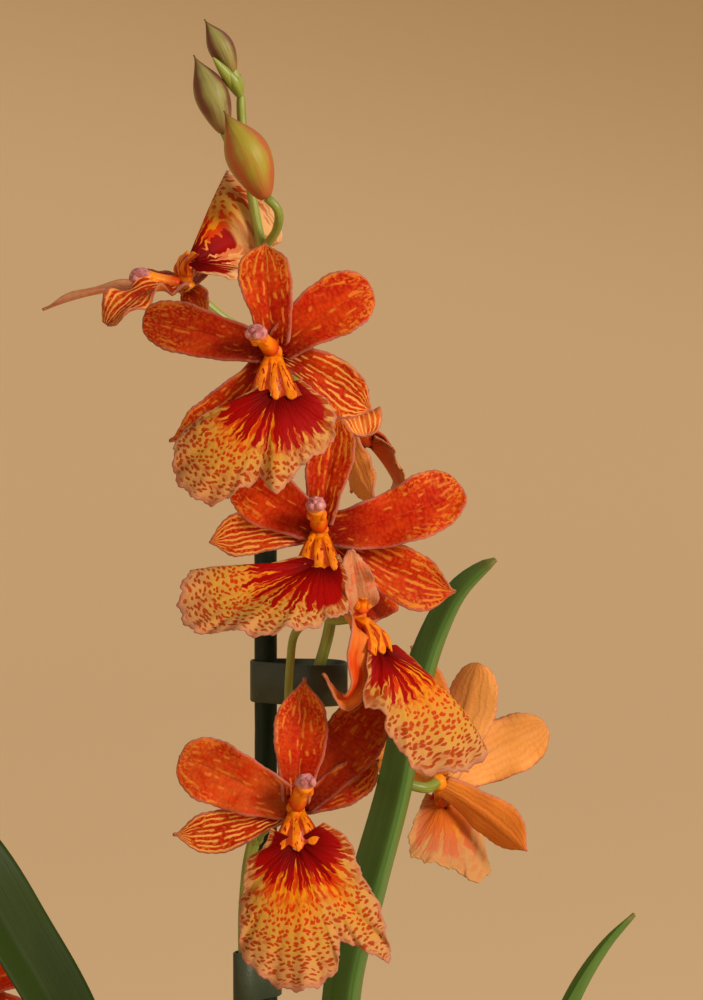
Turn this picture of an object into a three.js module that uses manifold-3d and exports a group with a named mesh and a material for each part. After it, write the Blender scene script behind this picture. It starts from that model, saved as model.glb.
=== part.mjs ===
// Potted oncidopsis orchid: a clay pot of bark with three bulbs, strap leaves, and two flower spikes,
// the taller one tied to a stake. Millimetres, +Z up, origin at the middle of the pot's foot.
// Blooms face -Y. Points are [x, y, z].
import * as THREE from 'three';
import { mergeVertices } from 'three/addons/utils/BufferGeometryUtils.js';
import Module from 'manifold-3d';

const wasm = await Module();
wasm.setup();

// Driving dimensions
const POT_HEIGHT = 115;
const POT_TOP_RADIUS = 65;
const POT_FOOT_RADIUS = 45;
const POT_WALL = 6;
const POT_FLOOR = 8;
const POT_RIM_HEIGHT = 26;
const POT_RIM_STEP = 4;
const POT_SIDES = 32;
const DRAIN_RADIUS = 5;
const DRAIN_CIRCLE = 25;
const BARK_TOP = 96;
const BARK_CHIPS = 20;
const GOLDEN_ANGLE = Math.PI * (3 - Math.sqrt(5));
const CLEARANCE = 0.35;
const BLADE = 0.9;
const LEAF_BLADE = 1.1;
const HUB_RADIUS = 3.2;
const COLUMN_RADIUS = 1.7;
const CAP_RADIUS = 2.4;
const CALLUS_RADIUS = 3.4;
const STALK_RADIUS = 1.1;
const OVARY_RADIUS = 1.6;
const NECK_LENGTH = 5;
const STEM_FOOT_RADIUS = 2.3;
const STEM_TOP_RADIUS = 1.2;
const STAKE_RADIUS = 3;
const STAKE_FOOT = 20;
const STAKE_TOP = 432;
const STAKE_AT = [-9.2, 5];
const TIE_THICK = 0.8;

const paint = (color, roughness) => new THREE.MeshStandardMaterial({ color, roughness, metalness: 0 });
const materials = {
  clay: paint('#b5623a', 0.85),
  bark: paint('#5a3b26', 0.95),
  bulb: paint('#7f9445', 0.55),
  leaf: paint('#4d7332', 0.45),
  stem: paint('#7d9a3f', 0.5),
  stake: paint('#1f3a2a', 0.5),
  tie: paint('#20261f', 0.6),
  petal: paint('#c9431f', 0.5),
  lip: paint('#e8b45a', 0.5),
  column: paint('#e9a04a', 0.45),
  bud: paint('#a8562f', 0.5),
};

const vec = (point) => new THREE.Vector3(...point);
const radians = THREE.MathUtils.degToRad;
const mix = THREE.MathUtils.lerp;

// Seeded random draw, 0 to 1
let seed = 7;
function draw() {
  seed = (seed * 16807) % 2147483647;
  return seed / 2147483647;
}

// Booleans
function solid(geometry) {
  const bare = geometry.clone();
  bare.deleteAttribute('normal');
  bare.deleteAttribute('uv');
  const merged = mergeVertices(bare, 1e-4);
  return new wasm.Manifold(new wasm.Mesh({
    numProp: 3,
    vertProperties: Float32Array.from(merged.attributes.position.array),
    triVerts: Uint32Array.from(merged.index.array),
  }));
}

function geometryOf(body) {
  const result = body.getMesh();
  const geometry = new THREE.BufferGeometry();
  geometry.setAttribute('position', new THREE.BufferAttribute(Float32Array.from(result.vertProperties), 3));
  geometry.setIndex(Array.from(result.triVerts));
  return geometry;
}

function fuse(bodies) {
  return bodies.reduce((sum, body) => sum.add(body));
}

function largest(body) {
  return body.decompose().reduce((best, piece) => (piece.volume() > best.volume() ? piece : best));
}

// Surfaces: a grid of points becomes a closed blade of even thickness
function closedSheet(rows, thickness) {
  const last = rows.length - 1;
  const across = rows[0].length - 1;
  const points = [];
  for (const side of [0.5, -0.5]) {
    for (let i = 0; i <= last; i++) {
      for (let j = 0; j <= across; j++) {
        const along = rows[Math.min(last, i + 1)][j].clone().sub(rows[Math.max(0, i - 1)][j]);
        const over = rows[i][Math.min(across, j + 1)].clone().sub(rows[i][Math.max(0, j - 1)]);
        const normal = over.cross(along).normalize();
        points.push(rows[i][j].clone().addScaledVector(normal, side * thickness));
      }
    }
  }
  const front = (i, j) => i * (across + 1) + j;
  const back = (i, j) => front(last, across) + 1 + front(i, j);
  const faces = [];
  const quad = (a, b, c, d) => faces.push(a, b, c, a, c, d);
  for (let i = 0; i < last; i++) {
    for (let j = 0; j < across; j++) {
      quad(front(i, j), front(i, j + 1), front(i + 1, j + 1), front(i + 1, j));
      faces.push(back(i, j), back(i + 1, j + 1), back(i, j + 1));
      faces.push(back(i, j), back(i + 1, j), back(i + 1, j + 1));
    }
    quad(front(i, 0), front(i + 1, 0), back(i + 1, 0), back(i, 0));
    quad(front(i + 1, across), front(i, across), back(i, across), back(i + 1, across));
  }
  for (let j = 0; j < across; j++) {
    quad(front(0, j + 1), front(0, j), back(0, j), back(0, j + 1));
    quad(front(last, j), front(last, j + 1), back(last, j + 1), back(last, j));
  }
  const geometry = new THREE.BufferGeometry();
  const flat = points.flatMap((point) => point.toArray());
  geometry.setAttribute('position', new THREE.Float32BufferAttribute(flat, 3));
  geometry.setIndex(faces);
  return geometry;
}

// A round limb along a curve, with its radius a function of the way along; flat squeezes it one way
function limb(points, radius, sides, steps, flat = 1, flatWay = null) {
  const curve = new THREE.CatmullRomCurve3(points.map(vec), false, 'centripetal');
  const frames = curve.computeFrenetFrames(steps, false);
  const corners = [];
  for (let i = 0; i <= steps; i++) {
    const middle = curve.getPointAt(i / steps);
    const tangent = frames.tangents[i];
    const wide = flatWay ? vec(flatWay).cross(tangent).normalize() : frames.normals[i];
    const thin = tangent.clone().cross(wide);
    for (let k = 0; k < sides; k++) {
      const angle = 2 * Math.PI * k / sides;
      const reach = radius(i / steps);
      corners.push(middle.clone()
        .addScaledVector(wide, reach * Math.cos(angle))
        .addScaledVector(thin, reach * flat * Math.sin(angle)));
    }
  }
  const faces = [];
  for (let i = 0; i < steps; i++) {
    for (let k = 0; k < sides; k++) {
      const next = (k + 1) % sides;
      const a = i * sides + k;
      const b = i * sides + next;
      faces.push(a, b, b + sides, a, b + sides, a + sides);
    }
  }
  for (let k = 1; k < sides - 1; k++) {
    faces.push(0, k + 1, k);
    faces.push(steps * sides, steps * sides + k, steps * sides + k + 1);
  }
  const geometry = new THREE.BufferGeometry();
  geometry.setAttribute('position', new THREE.Float32BufferAttribute(corners.flatMap((c) => c.toArray()), 3));
  geometry.setIndex(faces);
  return geometry;
}

function ball(centre, radius) {
  return new THREE.SphereGeometry(radius, 6, 4).translate(...centre);
}

// Way a bloom looks: 0, 0 is towards -Y; yaw turns it to +X, pitch turns it up
function lookOf([yaw, pitch]) {
  const y = radians(yaw);
  const p = radians(pitch);
  return new THREE.Vector3(Math.sin(y) * Math.cos(p), -Math.cos(y) * Math.cos(p), Math.sin(p));
}

// Half width of a petal, from 0 at its root to 1, then to its tip
function widthAt(s, widest, blunt, claw) {
  const bell = s > 0 && s < 1 ? Math.sin(Math.PI * s ** widest) ** blunt : 0;
  return bell * (1 - claw * (1 - s)) + claw * (1 - s) ** 2;
}

// A petal from its root to its tip. bow arches it towards the way it looks, sweep bends it sideways.
function petalRows(root, tip, look, shape, steps = 5, halves = 1) {
  const { width, bow = 2, sweep = 0, hook = 0, widest = 1.3, blunt = 0.6 } = shape;
  const claw = 0.3;
  const cup = 0.1;
  const reach = tip.clone().sub(root);
  const way = reach.clone().normalize();
  const out = look.clone().addScaledVector(way, -look.dot(way)).normalize();
  const side = way.clone().cross(out);
  const middle = (s) => {
    const arch = 4 * s * (1 - s);
    return root.clone().addScaledVector(reach, s)
      .addScaledVector(out, bow * arch - hook * s ** 3)
      .addScaledVector(side, sweep * arch);
  };
  const rows = [];
  for (let i = 0; i <= steps; i++) {
    const s = i / steps;
    const half = Math.max(0.7, width / 2 * widthAt(s, widest, blunt, claw));
    const tangent = middle(Math.min(1, s + 0.02)).sub(middle(Math.max(0, s - 0.02))).normalize();
    const face = out.clone().addScaledVector(tangent, -out.dot(tangent)).normalize();
    const wide = tangent.clone().cross(face);
    const row = [];
    for (let j = -halves; j <= halves; j++) {
      const q = j / halves;
      row.push(middle(s).addScaledVector(wide, half * q).addScaledVector(face, cup * half * q * q * 2));
    }
    rows.push(row);
  }
  return rows;
}

// Catmull-Rom through a list of points, x from 0 to its last index
function through(points, x) {
  const last = points.length - 1;
  const i = Math.min(last - 1, Math.floor(x));
  const t = x - i;
  const b = points[i];
  const c = points[i + 1];
  const a = i > 0 ? points[i - 1] : b.clone().multiplyScalar(2).sub(c);
  const d = i + 2 <= last ? points[i + 2] : c.clone().multiplyScalar(2).sub(b);
  return b.clone().multiplyScalar(2)
    .addScaledVector(c.clone().sub(a), t)
    .addScaledVector(a.clone().multiplyScalar(2).addScaledVector(b, -5).addScaledVector(c, 4).sub(d), t * t)
    .addScaledVector(b.clone().multiplyScalar(3).sub(a).addScaledVector(c, -3).add(d), t ** 3)
    .multiplyScalar(0.5);
}

// A lip is a fan from its centre to its edge, arched towards the way it looks
function lipRows(centre, edge, look, bulge, rings = 2, rays = 13) {
  const start = 0.12;
  const rows = [];
  for (let i = 0; i <= rings; i++) {
    const u = i / rings;
    const row = [];
    for (let j = 0; j <= rays; j++) {
      const reach = through(edge, j / rays * (edge.length - 1));
      const length = reach.length();
      const out = look.clone().addScaledVector(reach, -look.dot(reach) / length ** 2).normalize();
      row.push(centre.clone()
        .addScaledVector(reach, start + (1 - start) * u)
        .addScaledVector(out, bulge * length * 4 * u * (1 - u)));
    }
    rows.push(row);
  }
  return rows;
}

// Blooms: tips from the bloom's centre, lip edge from the lip's centre
const shapes = {
  upper: {
    looks: [-10, 4],
    cap: [-4.3, -8.5, 4.8],
    tepals: {
      top_sepal: { tip: [-3, 3, 27.5], width: 15.5, widest: 1.7, blunt: 0.45, hook: 3 },
      right_petal: { tip: [25, 0, 15.5], width: 17.5, bow: 2.5, sweep: -1.5, widest: 1.6, blunt: 0.45 },
      left_petal: { tip: [-33.5, 3, 8.5], width: 14.5, bow: 3, widest: 1.6, blunt: 0.45 },
      right_sepal: { tip: [25, 4, -15.5], width: 14.5, sweep: -1, widest: 1.5, blunt: 0.7, forward: -3 },
      left_sepal: { tip: [-27, 4, -23], width: 14, sweep: -4, widest: 1.2, forward: -3 },
    },
    lip: {
      centre: [1, -7, -9], bulge: 0.1,
      edge: [[-5, 0, 1], [-8.5, 0, -1.5], [-18.5, 0, -6.5], [-25.5, -1, -13], [-25.5, -5, -23],
        [-17, -9, -28.5], [-8.5, -9, -24.5], [-4, -8, -22], [-0.5, -10, -26], [5, -8, -20],
        [13.5, -2, -13.5], [14, 0, -5.5], [10.5, 0, -1.5], [5.5, 0, 2.5]],
    },
  },
  middle: {
    looks: [-12, 10],
    cap: [-1, -8, 6.5],
    tepals: {
      top_sepal: { tip: [5, 8, 29], width: 14, widest: 1.4 },
      right_petal: { tip: [36.5, 4, 10.5], width: 18, sweep: 2.5, widest: 1.7, blunt: 0.45 },
      left_petal: { tip: [-22, 4, 13], width: 17, widest: 1.4, blunt: 0.5 },
      right_sepal: { tip: [35, 9, -17], width: 16.5, bow: 1, sweep: 2, widest: 1.6, forward: -3 },
      left_sepal: { tip: [-28.5, 2, -3.5], width: 12.5, sweep: 1, widest: 1.5, blunt: 0.45, forward: -3 },
    },
    lip: {
      centre: [0.5, -8, -8], bulge: 0.06,
      edge: [[4.5, -1, 2.5], [6.5, -4, -3], [6.5, -9, -9], [4.5, -14, -12], [-4, -20, -14],
        [-15, -22, -15.5], [-24, -19, -15], [-33, -15, -15.5], [-36, -10, -8.5], [-34, -6, -2],
        [-28, -4, -0.5], [-17, -2, -0.5], [-5.5, 0, 2]],
    },
  },
  turned_right: {
    looks: [60, 10],
    cap: [4, -4, 6],
    tepals: {
      left_petal: { tip: [-2, -12, 18.5], width: 11.5, bow: 1, widest: 0.9, blunt: 0.8, looks: [12, 0] },
      right_petal: { tip: [8.5, 34, 8], width: 15, widest: 1.4 },
      top_sepal: { tip: [1.5, 30, 14], width: 14, widest: 1.2, forward: -3 },
      left_sepal: { tip: [-7, -8, -20], width: 9, bow: -1, sweep: -3, forward: -3 },
      right_sepal: { tip: [3, 26, -25.5], width: 12, widest: 1.2, forward: -3 },
    },
    lip: {
      centre: [4.5, -6, -7], bulge: 0.12,
      edge: [[-2, -4, 1.5], [-3, -9, -9], [-2.5, -11, -14], [0.5, -12, -15.5], [2, -12, -19], [6, -12, -24.5],
        [7, -12, -28.5], [14, -10, -31.5], [22.5, -6, -31.5], [28, 0, -28], [25.5, 8, -25], [20, 16, -18],
        [15.5, 24, -15.5], [10, 26, -9.5], [5, 14, -2]],
    },
  },
  turned_away: {
    looks: [140, 10],
    cap: [3.5, 8.5, 1],
    tepals: {
      left_petal: { tip: [2.5, -12, -1.5], width: 11, bow: 4.5, widest: 1.6, blunt: 0.45, looks: [10, 60] },
      left_sepal: { tip: [6.5, -8, -19.5], width: 11.5, sweep: -4, widest: 1, blunt: 0.7, forward: -3 },
      top_sepal: { tip: [-7, 14, 15], width: 14, widest: 1.2 },
      right_petal: { tip: [3, 28, 4], width: 12, widest: 1.2 },
      right_sepal: { tip: [0, 24, -20], width: 12, widest: 1.2, forward: -3 },
    },
    lip: {
      centre: [5, 5, -5], bulge: 0.1,
      edge: [[1, -4, 2], [6, -6, -1.5], [8, -5, -6], [9.5, -2, -13.5], [9.5, 4, -20], [9, 12, -22],
        [8, 18, -18.5], [6.5, 19, -12], [4.5, 14, -4], [1, 6, 2]],
    },
  },
  lower: {
    looks: [0, 0],
    cap: [2.6, -8, 7.5],
    tepals: {
      top_sepal: { tip: [2.3, 6, 33], width: 15.5, widest: 1.2, blunt: 0.8 },
      right_petal: { tip: [22.8, 8, 27.5], width: 17.5, forward: -1.5 },
      left_petal: { tip: [-29.7, 2, 13.5], width: 18.5, widest: 1.6, blunt: 0.45, forward: -1.5 },
      right_sepal: { tip: [21.3, 6, 11.5], width: 12, sweep: 1, forward: -3 },
      left_sepal: { tip: [-31.7, 4, -7.5], width: 12.5, sweep: -1.5, widest: 1.5, blunt: 0.85, forward: -3 },
    },
    lip: {
      centre: [0.3, -7, -7], bulge: 0.08,
      edge: [[-6.5, 0, 3], [-8.5, 0, -2], [-12.5, -1, -5.5], [-13.5, -3, -11.5], [-14.5, -7, -20.5],
        [-13, -11, -29], [-5, -14, -35], [3, -15, -36], [10.5, -13, -31], [11.5, -11, -24.5],
        [19.5, -9, -28], [24, -7, -29.5], [21, -5, -16], [16, -1, -7.5], [13.5, 0, 0], [7, 0, 4.5]],
    },
  },
  behind: {
    looks: [150, 5],
    cap: [4.5, 8.5, 3],
    tepals: {
      top_sepal: { tip: [-7.5, 6, 36.5], width: 15 },
      left_petal: { tip: [11, 8, 31.5], width: 16, widest: 1.5, blunt: 0.5, forward: 1 },
      right_petal: { tip: [29.5, 6, 14.5], width: 18, widest: 1.5, blunt: 0.5 },
      left_sepal: { tip: [24, 2, -19.5], width: 14.5, widest: 1.5, forward: -1 },
      right_sepal: { tip: [-19.5, 4, 7.5], width: 13, widest: 1.4, forward: -1 },
    },
    lip: {
      centre: [1, 7, -7], bulge: 0.1,
      edge: [[-4.5, 2, 2.5], [-8.5, -2, -7], [-8.5, -6, -13.5], [0.5, -4, -17], [10.5, 0, -21.5],
        [13, 6, -17], [8.5, 10, -5], [3.5, 6, 0.5]],
    },
  },
  turned_up: {
    looks: [-75, 40],
    cap: [-11, -3.5, 2.5],
    tepals: {
      top_sepal: { tip: [-37.5, 7, -6.5], width: 9, bow: 3, widest: 1.2, looks: [-60, 70], forward: -2 },
      left_petal: { tip: [-19, -17, -9.5], width: 14, bow: 4, widest: 1.7, blunt: 0.45, looks: [-30, 50] },
      right_petal: { tip: [-20, 23, -4.5], width: 13, bow: 3, widest: 1.5, looks: [-60, 60] },
      left_sepal: { tip: [6.5, -15, -8], width: 9, bow: 1.5, blunt: 0.9, looks: [-20, 30], forward: -2 },
      right_sepal: { tip: [9, 25, 5.5], width: 11, bow: 1, looks: [-60, 60], forward: -2 },
    },
    lip: {
      centre: [1, -2, 6], bulge: 0.1,
      edge: [[3, -2, -2.5], [6.5, -3, -3], [13, 0, -3], [19.5, 12, -1], [23.5, 12.5, 5], [23.5, 12, 11],
        [20.5, 12, 15.5], [16.5, 12, 19], [12, 14, 22], [9.5, 19, 24.5], [10, 24, 21], [12, 28, 15],
        [8.5, 26, 9], [4, 18, 3], [1, 8, 0]],
    },
  },
};

const blooms = [
  { name: 'bloom_1', shape: 'upper', centre: [-6, -36, 471], stalk: [[-1, -14, 462], [-1, 0, 457]] },
  { name: 'bloom_2', shape: 'middle', centre: [5.5, -30, 425], stalk: [[11, -12, 420], [8, 2, 414]] },
  { name: 'bloom_3', shape: 'turned_right', centre: [15.5, -28, 402.5],
    stalk: [[5.5, -15, 402], [-1, -12, 396.5], [-2.5, -12, 388], [-3, -11, 374.5], [-2.5, -6, 362]] },
  { name: 'bloom_4', shape: 'turned_away', centre: [13.5, 6, 449.5], stalk: [[6, 3, 440], [6, 1.5, 430]] },
  { name: 'bloom_5', shape: 'lower', centre: [-0.8, -34, 353.5], stalk: [[-4, -20, 350], [-12, -8, 341]] },
  { name: 'bloom_6', shape: 'behind', centre: [37.5, 34, 350],
    stalk: [[24, 24, 352], [14, 10, 354], [4, -2, 352], [-7.5, -7, 350]] },
  { name: 'bloom_7', shape: 'turned_up', centre: [-30, -5, 486.5],
    stalk: [[-20, -2, 478], [-10, 0, 472], [-2, 0, 464]] },
  { name: 'bloom_8', shape: 'upper', centre: [-90, 32, 292], turn: -20,
    stalk: [[-82, 46, 276], [-72, 50, 262]] },
  { name: 'bloom_9', shape: 'lower', centre: [-134, 30, 316], turn: -55,
    stalk: [[-114, 44, 312], [-104, 52, 305]] },
];

const spikes = [
  {
    name: 'flower_spike_1',
    stem: [[-12, -10, 84], [-14, -8, 150], [-16, -3, 230], [-14.7, -2, 298], [-14.5, -4, 324], [-12, -8, 341],
      [-2.5, -6, 362], [4, 0, 382.5], [8, 0, 398], [8, 2, 414], [2.5, 0, 443], [-4, 0, 469.5], [-10, 0, 497],
      [-12.5, 0, 510], [-15, 0, 528], [-15.5, 0, 541.5]],
    blooms: ['bloom_1', 'bloom_2', 'bloom_3', 'bloom_4', 'bloom_5', 'bloom_6', 'bloom_7'],
    budStalks: [
      [[-15.3, 0, 538], [-17, 0, 541.5], [-18.3, 0, 544.3]],
      [[-13.5, 0, 517], [-17.5, -2, 522], [-19.5, -3, 526.3]],
      [[-9.5, 0, 496], [-5.8, -6, 501.5], [-5.6, -10, 506.5], [-8.4, -10, 509.6]],
    ],
    tipBuds: [[-19.5, -1, 540], [-17.5, 2, 546]],
  },
  {
    name: 'flower_spike_2',
    stem: [[-20, 24, 84], [-24, 28, 140], [-42, 38, 205], [-72, 50, 262], [-104, 52, 305], [-130, 52, 331],
      [-146, 50, 340]],
    blooms: ['bloom_8', 'bloom_9'],
    budStalks: [[[-138, 51, 335.5], [-141, 50, 343], [-143, 49, 347]]],
    tipBuds: [[-148, 49.5, 343]],
  },
];

const buds = [
  { name: 'bud_1', root: [-18.6, 0, 544.8], tip: [-24.5, 0, 555.5], width: 6.5 },
  { name: 'bud_2', root: [-19.8, -3, 526.9], tip: [-27.5, -3, 546.5], width: 9 },
  { name: 'bud_3', root: [-9, -10, 510], tip: [-19.5, -10, 532], width: 12.5 },
  { name: 'bud_4', root: [-143.3, 48.9, 347.6], tip: [-146, 47, 365], width: 8 },
];

const bulbs = [
  { name: 'bulb_1', foot: [-29, 8, 92], top: [-30, 6, 158], width: 32, depth: 20, faces: [0.1, -1, 0] },
  { name: 'bulb_2', foot: [14, 15, 92], top: [13, 14, 168], width: 35, depth: 21, faces: [-0.15, -1, 0] },
  { name: 'bulb_3', foot: [22, -20, 92], top: [24, -22, 145], width: 30, depth: 17, faces: [0.3, -1, 0] },
];

// Leaves: middle line, width, the way the blade's upper face looks, fold at root and tip in degrees
const leaves = [
  { name: 'leaf_1', width: 23, faces: [-0.25, 1, 0.1], folds: [66, 60],
    line: [[13, 10.5, 168.5], [13, 4, 230], [13.5, 1, 297], [20, 4, 323], [27, 8, 349], [32, 10, 375.5],
      [37, 12, 392], [43, 12, 404], [52, 12, 413]] },
  { name: 'leaf_2', width: 24, faces: [0, -0.6, 1], folds: [50, 12],
    line: [[-30, 3, 159.4], [-36, -12, 190], [-46, -38, 245], [-60, -60, 301], [-72, -67, 326],
      [-85, -73, 350], [-106, -80, 374], [-138, -88, 382]] },
  { name: 'leaf_3', width: 15, faces: [-1, 0.1, 0.5], folds: [55, 30],
    line: [[25, -19, 145.5], [38, -22, 200], [58, -24, 258], [72, -24, 300], [80, -24, 315], [87, -24, 324]] },
  { name: 'leaf_4', width: 26, faces: [0, 0.3, 1], folds: [50, 10],
    line: [[-31, 9.5, 158.5], [-46, 20, 186], [-76, 44, 222], [-116, 70, 240], [-160, 92, 232],
      [-198, 108, 198]] },
  { name: 'leaf_5', width: 25, faces: [0.3, 0, 1], folds: [55, 10],
    line: [[-49.5, 6, 93], [-51.5, 5, 120], [-62, 2, 156], [-94, -4, 212], [-135, -12, 240],
      [-180, -18, 236], [-218, -22, 205]] },
  { name: 'leaf_6', width: 25, faces: [0, 0.4, 1], folds: [55, 10],
    line: [[-34, -7, 93], [-37, -30, 140], [-44, -70, 195], [-55, -115, 216], [-66, -160, 205],
      [-74, -195, 172]] },
  { name: 'leaf_7', width: 27, faces: [0, -0.3, 1], folds: [52, 10],
    line: [[13.5, 18.5, 168.5], [22, 40, 205], [38, 76, 238], [60, 120, 250], [84, 165, 238],
      [104, 202, 202]] },
  { name: 'leaf_8', width: 25, faces: [0, -0.4, 1], folds: [55, 10],
    line: [[12, 31, 93], [9, 50, 145], [0, 88, 205], [-14, 130, 236], [-30, 172, 232], [-42, 206, 200]] },
  { name: 'leaf_9', width: 23, faces: [-0.2, 0.3, 1], folds: [52, 10],
    line: [[24, -26, 145.5], [36, -50, 190], [58, -84, 232], [88, -122, 246], [120, -158, 228],
      [144, -184, 192]] },
  { name: 'leaf_10', width: 24, faces: [-0.3, 0, 1], folds: [55, 10],
    line: [[42, -22, 93], [54, -20, 140], [84, -14, 195], [128, -8, 222], [174, -2, 212], [210, 2, 180]] },
  { name: 'leaf_11', width: 25, faces: [-0.3, 0, 1], folds: [55, 10],
    line: [[36.5, 20, 93], [50, 30, 145], [82, 50, 205], [124, 72, 238], [168, 92, 232], [202, 108, 200]] },
  { name: 'leaf_12', width: 21, faces: [0, 0.4, 1], folds: [55, 10],
    line: [[12, -34, 93], [11, -42, 128], [6, -82, 172], [-2, -122, 188], [-12, -158, 178], [-18, -186, 150]] },
];

const ties = [
  { name: 'stake_tie_1', low: 376, height: 11, round: [STAKE_AT, STAKE_RADIUS], loop: [[5.2, 0.6], 6.2] },
  { name: 'stake_tie_2', low: 297, height: 13, round: [STAKE_AT, STAKE_RADIUS], loop: [[-14.6, -2.6], 2.1] },
];

const part = new THREE.Group();

function add(name, body, material) {
  const mesh = new THREE.Mesh(geometryOf(body), material);
  mesh.name = name;
  part.add(mesh);
}

// Pot: foot, wall, rim band and three drain holes
function makePot() {
  const waist = POT_HEIGHT - POT_RIM_HEIGHT;
  const waistRadius = mix(POT_FOOT_RADIUS, POT_TOP_RADIUS - POT_RIM_STEP, waist / POT_HEIGHT);
  const floorRadius = innerRadius(POT_FLOOR);
  const profile = [
    [0, 0],
    [POT_FOOT_RADIUS - 1, 0],
    [POT_FOOT_RADIUS, 1],
    [waistRadius, waist],
    [POT_TOP_RADIUS - 2, waist],
    [POT_TOP_RADIUS, POT_HEIGHT - 2],
    [POT_TOP_RADIUS - 2, POT_HEIGHT],
    [innerRadius(POT_HEIGHT) + 1, POT_HEIGHT],
    [innerRadius(POT_HEIGHT), POT_HEIGHT - 1],
    [floorRadius, POT_FLOOR],
    [0, POT_FLOOR],
  ];
  let pot = lathe(profile, POT_SIDES);
  for (let k = 0; k < 3; k++) {
    const angle = Math.PI / 2 + 2 * Math.PI * k / 3;
    const hole = new THREE.CylinderGeometry(DRAIN_RADIUS, DRAIN_RADIUS, POT_FLOOR * 3, 12);
    hole.rotateX(Math.PI / 2);
    hole.translate(DRAIN_CIRCLE * Math.cos(angle), DRAIN_CIRCLE * Math.sin(angle), 0);
    pot = pot.subtract(solid(hole));
  }
  return pot;
}

function innerRadius(height) {
  return mix(POT_FOOT_RADIUS, POT_TOP_RADIUS - POT_RIM_STEP, height / POT_HEIGHT) - POT_WALL;
}

function lathe(profile, sides) {
  const points = profile.map(([radius, height]) => new THREE.Vector2(radius, height));
  return solid(new THREE.LatheGeometry(points, sides).rotateX(Math.PI / 2));
}

// Bark: a packed core up to its surface, with loose chips standing out of it
function makeBark() {
  const low = POT_FLOOR + CLEARANCE;
  const gap = CLEARANCE + 0.2;
  const core = lathe([
    [0, low],
    [innerRadius(low) - gap, low],
    [innerRadius(BARK_TOP) - gap, BARK_TOP],
    [innerRadius(BARK_TOP) * 0.6, BARK_TOP + 2],
    [0, BARK_TOP + 3],
  ], POT_SIDES);
  const chips = [];
  const reach = innerRadius(BARK_TOP) - 9;
  for (let k = 0; k < BARK_CHIPS; k++) {
    const radius = reach * Math.sqrt((k + 0.5) / BARK_CHIPS);
    const angle = k * GOLDEN_ANGLE;
    const chip = new THREE.BoxGeometry(9 + 4 * draw(), 6 + 3 * draw(), 5 + 2 * draw());
    chip.rotateX((draw() - 0.5) * 0.9);
    chip.rotateY((draw() - 0.5) * 0.9);
    chip.rotateZ(draw() * Math.PI);
    chip.translate(radius * Math.cos(angle), radius * Math.sin(angle), BARK_TOP + 1 + 2 * draw());
    chips.push(solid(chip));
  }
  return core.add(fuse(chips));
}

function makeBulb({ foot, top, width, depth, faces }) {
  const swell = (s) => width / 2 * (0.34 + 0.66 * Math.sin(Math.PI * (0.12 + 0.8 * s ** 0.8)) ** 0.8);
  return limb([foot, vec(foot).lerp(vec(top), 0.5).toArray(), top], swell, 12, 7, depth / width, faces);
}

function leafRows({ line, width, faces, folds }, steps = 10, halves = 1) {
  const curve = new THREE.CatmullRomCurve3(line.map(vec), false, 'centripetal');
  const rows = [];
  for (let i = 0; i <= steps; i++) {
    const s = i / steps;
    const middle = curve.getPointAt(s);
    const tangent = curve.getTangentAt(s);
    const upper = vec(faces).addScaledVector(tangent, -vec(faces).dot(tangent)).normalize();
    const wide = tangent.clone().cross(upper);
    const fold = radians(mix(folds[0], folds[1], s));
    const taper = Math.min(1, 0.35 + 1.8 * s) * Math.sqrt(Math.max(0, 1 - s ** 5));
    const half = Math.max(0.8, width / 2 * taper);
    const row = [];
    for (let j = -halves; j <= halves; j++) {
      const q = j / halves;
      row.push(middle.clone()
        .addScaledVector(wide, half * q * Math.cos(fold))
        .addScaledVector(upper, half * Math.abs(q) * Math.sin(fold)));
    }
    rows.push(row);
  }
  return rows;
}

// A bloom's points turn with it round a line up through its centre
function placed({ centre, turn = 0 }, point) {
  return vec(point).applyAxisAngle(new THREE.Vector3(0, 0, 1), radians(turn)).add(vec(centre));
}

function turnedLook({ turn = 0 }, [yaw, pitch]) {
  return lookOf([yaw + turn, pitch]);
}

function makeTepals(bloom) {
  const shape = shapes[bloom.shape];
  const front = turnedLook(bloom, shape.looks);
  const centre = vec(bloom.centre);
  const pieces = [solid(ball(bloom.centre, HUB_RADIUS))];
  for (const tepal of Object.values(shape.tepals)) {
    const look = turnedLook(bloom, tepal.looks ?? shape.looks);
    const tip = placed(bloom, tepal.tip);
    const root = centre.clone().addScaledVector(front, (tepal.forward ?? 0) * 0.7);
    root.addScaledVector(tip.clone().sub(centre).normalize(), 1.5);
    pieces.push(solid(closedSheet(petalRows(root, tip, look, tepal), BLADE)));
  }
  return largest(fuse(pieces).subtract(makeColumn(bloom, CLEARANCE)).subtract(makeLip(bloom, CLEARANCE)));
}

// Lip: the waved blade, the warty callus at its root and a claw back to the bloom's centre
function makeLip(bloom, extra = 0) {
  const shape = shapes[bloom.shape];
  const look = turnedLook(bloom, shape.looks);
  const centre = placed(bloom, shape.lip.centre);
  const edge = shape.lip.edge.map((point) => placed({ centre: [0, 0, 0], turn: bloom.turn }, point));
  const blade = solid(closedSheet(lipRows(centre, edge, look, shape.lip.bulge), BLADE + 2 * extra));
  const way = centre.clone().sub(vec(bloom.centre)).normalize();
  const root = vec(bloom.centre).addScaledVector(way, HUB_RADIUS + CLEARANCE - extra);
  const claw = solid(limb([root.toArray(), centre.toArray()], (s) => mix(1.5, 2.5, s) + extra, 6, 2));
  const callus = solid(ball(centre.clone().addScaledVector(look, 1.2).toArray(), CALLUS_RADIUS + extra));
  return fuse([blade, claw, callus]);
}

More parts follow.
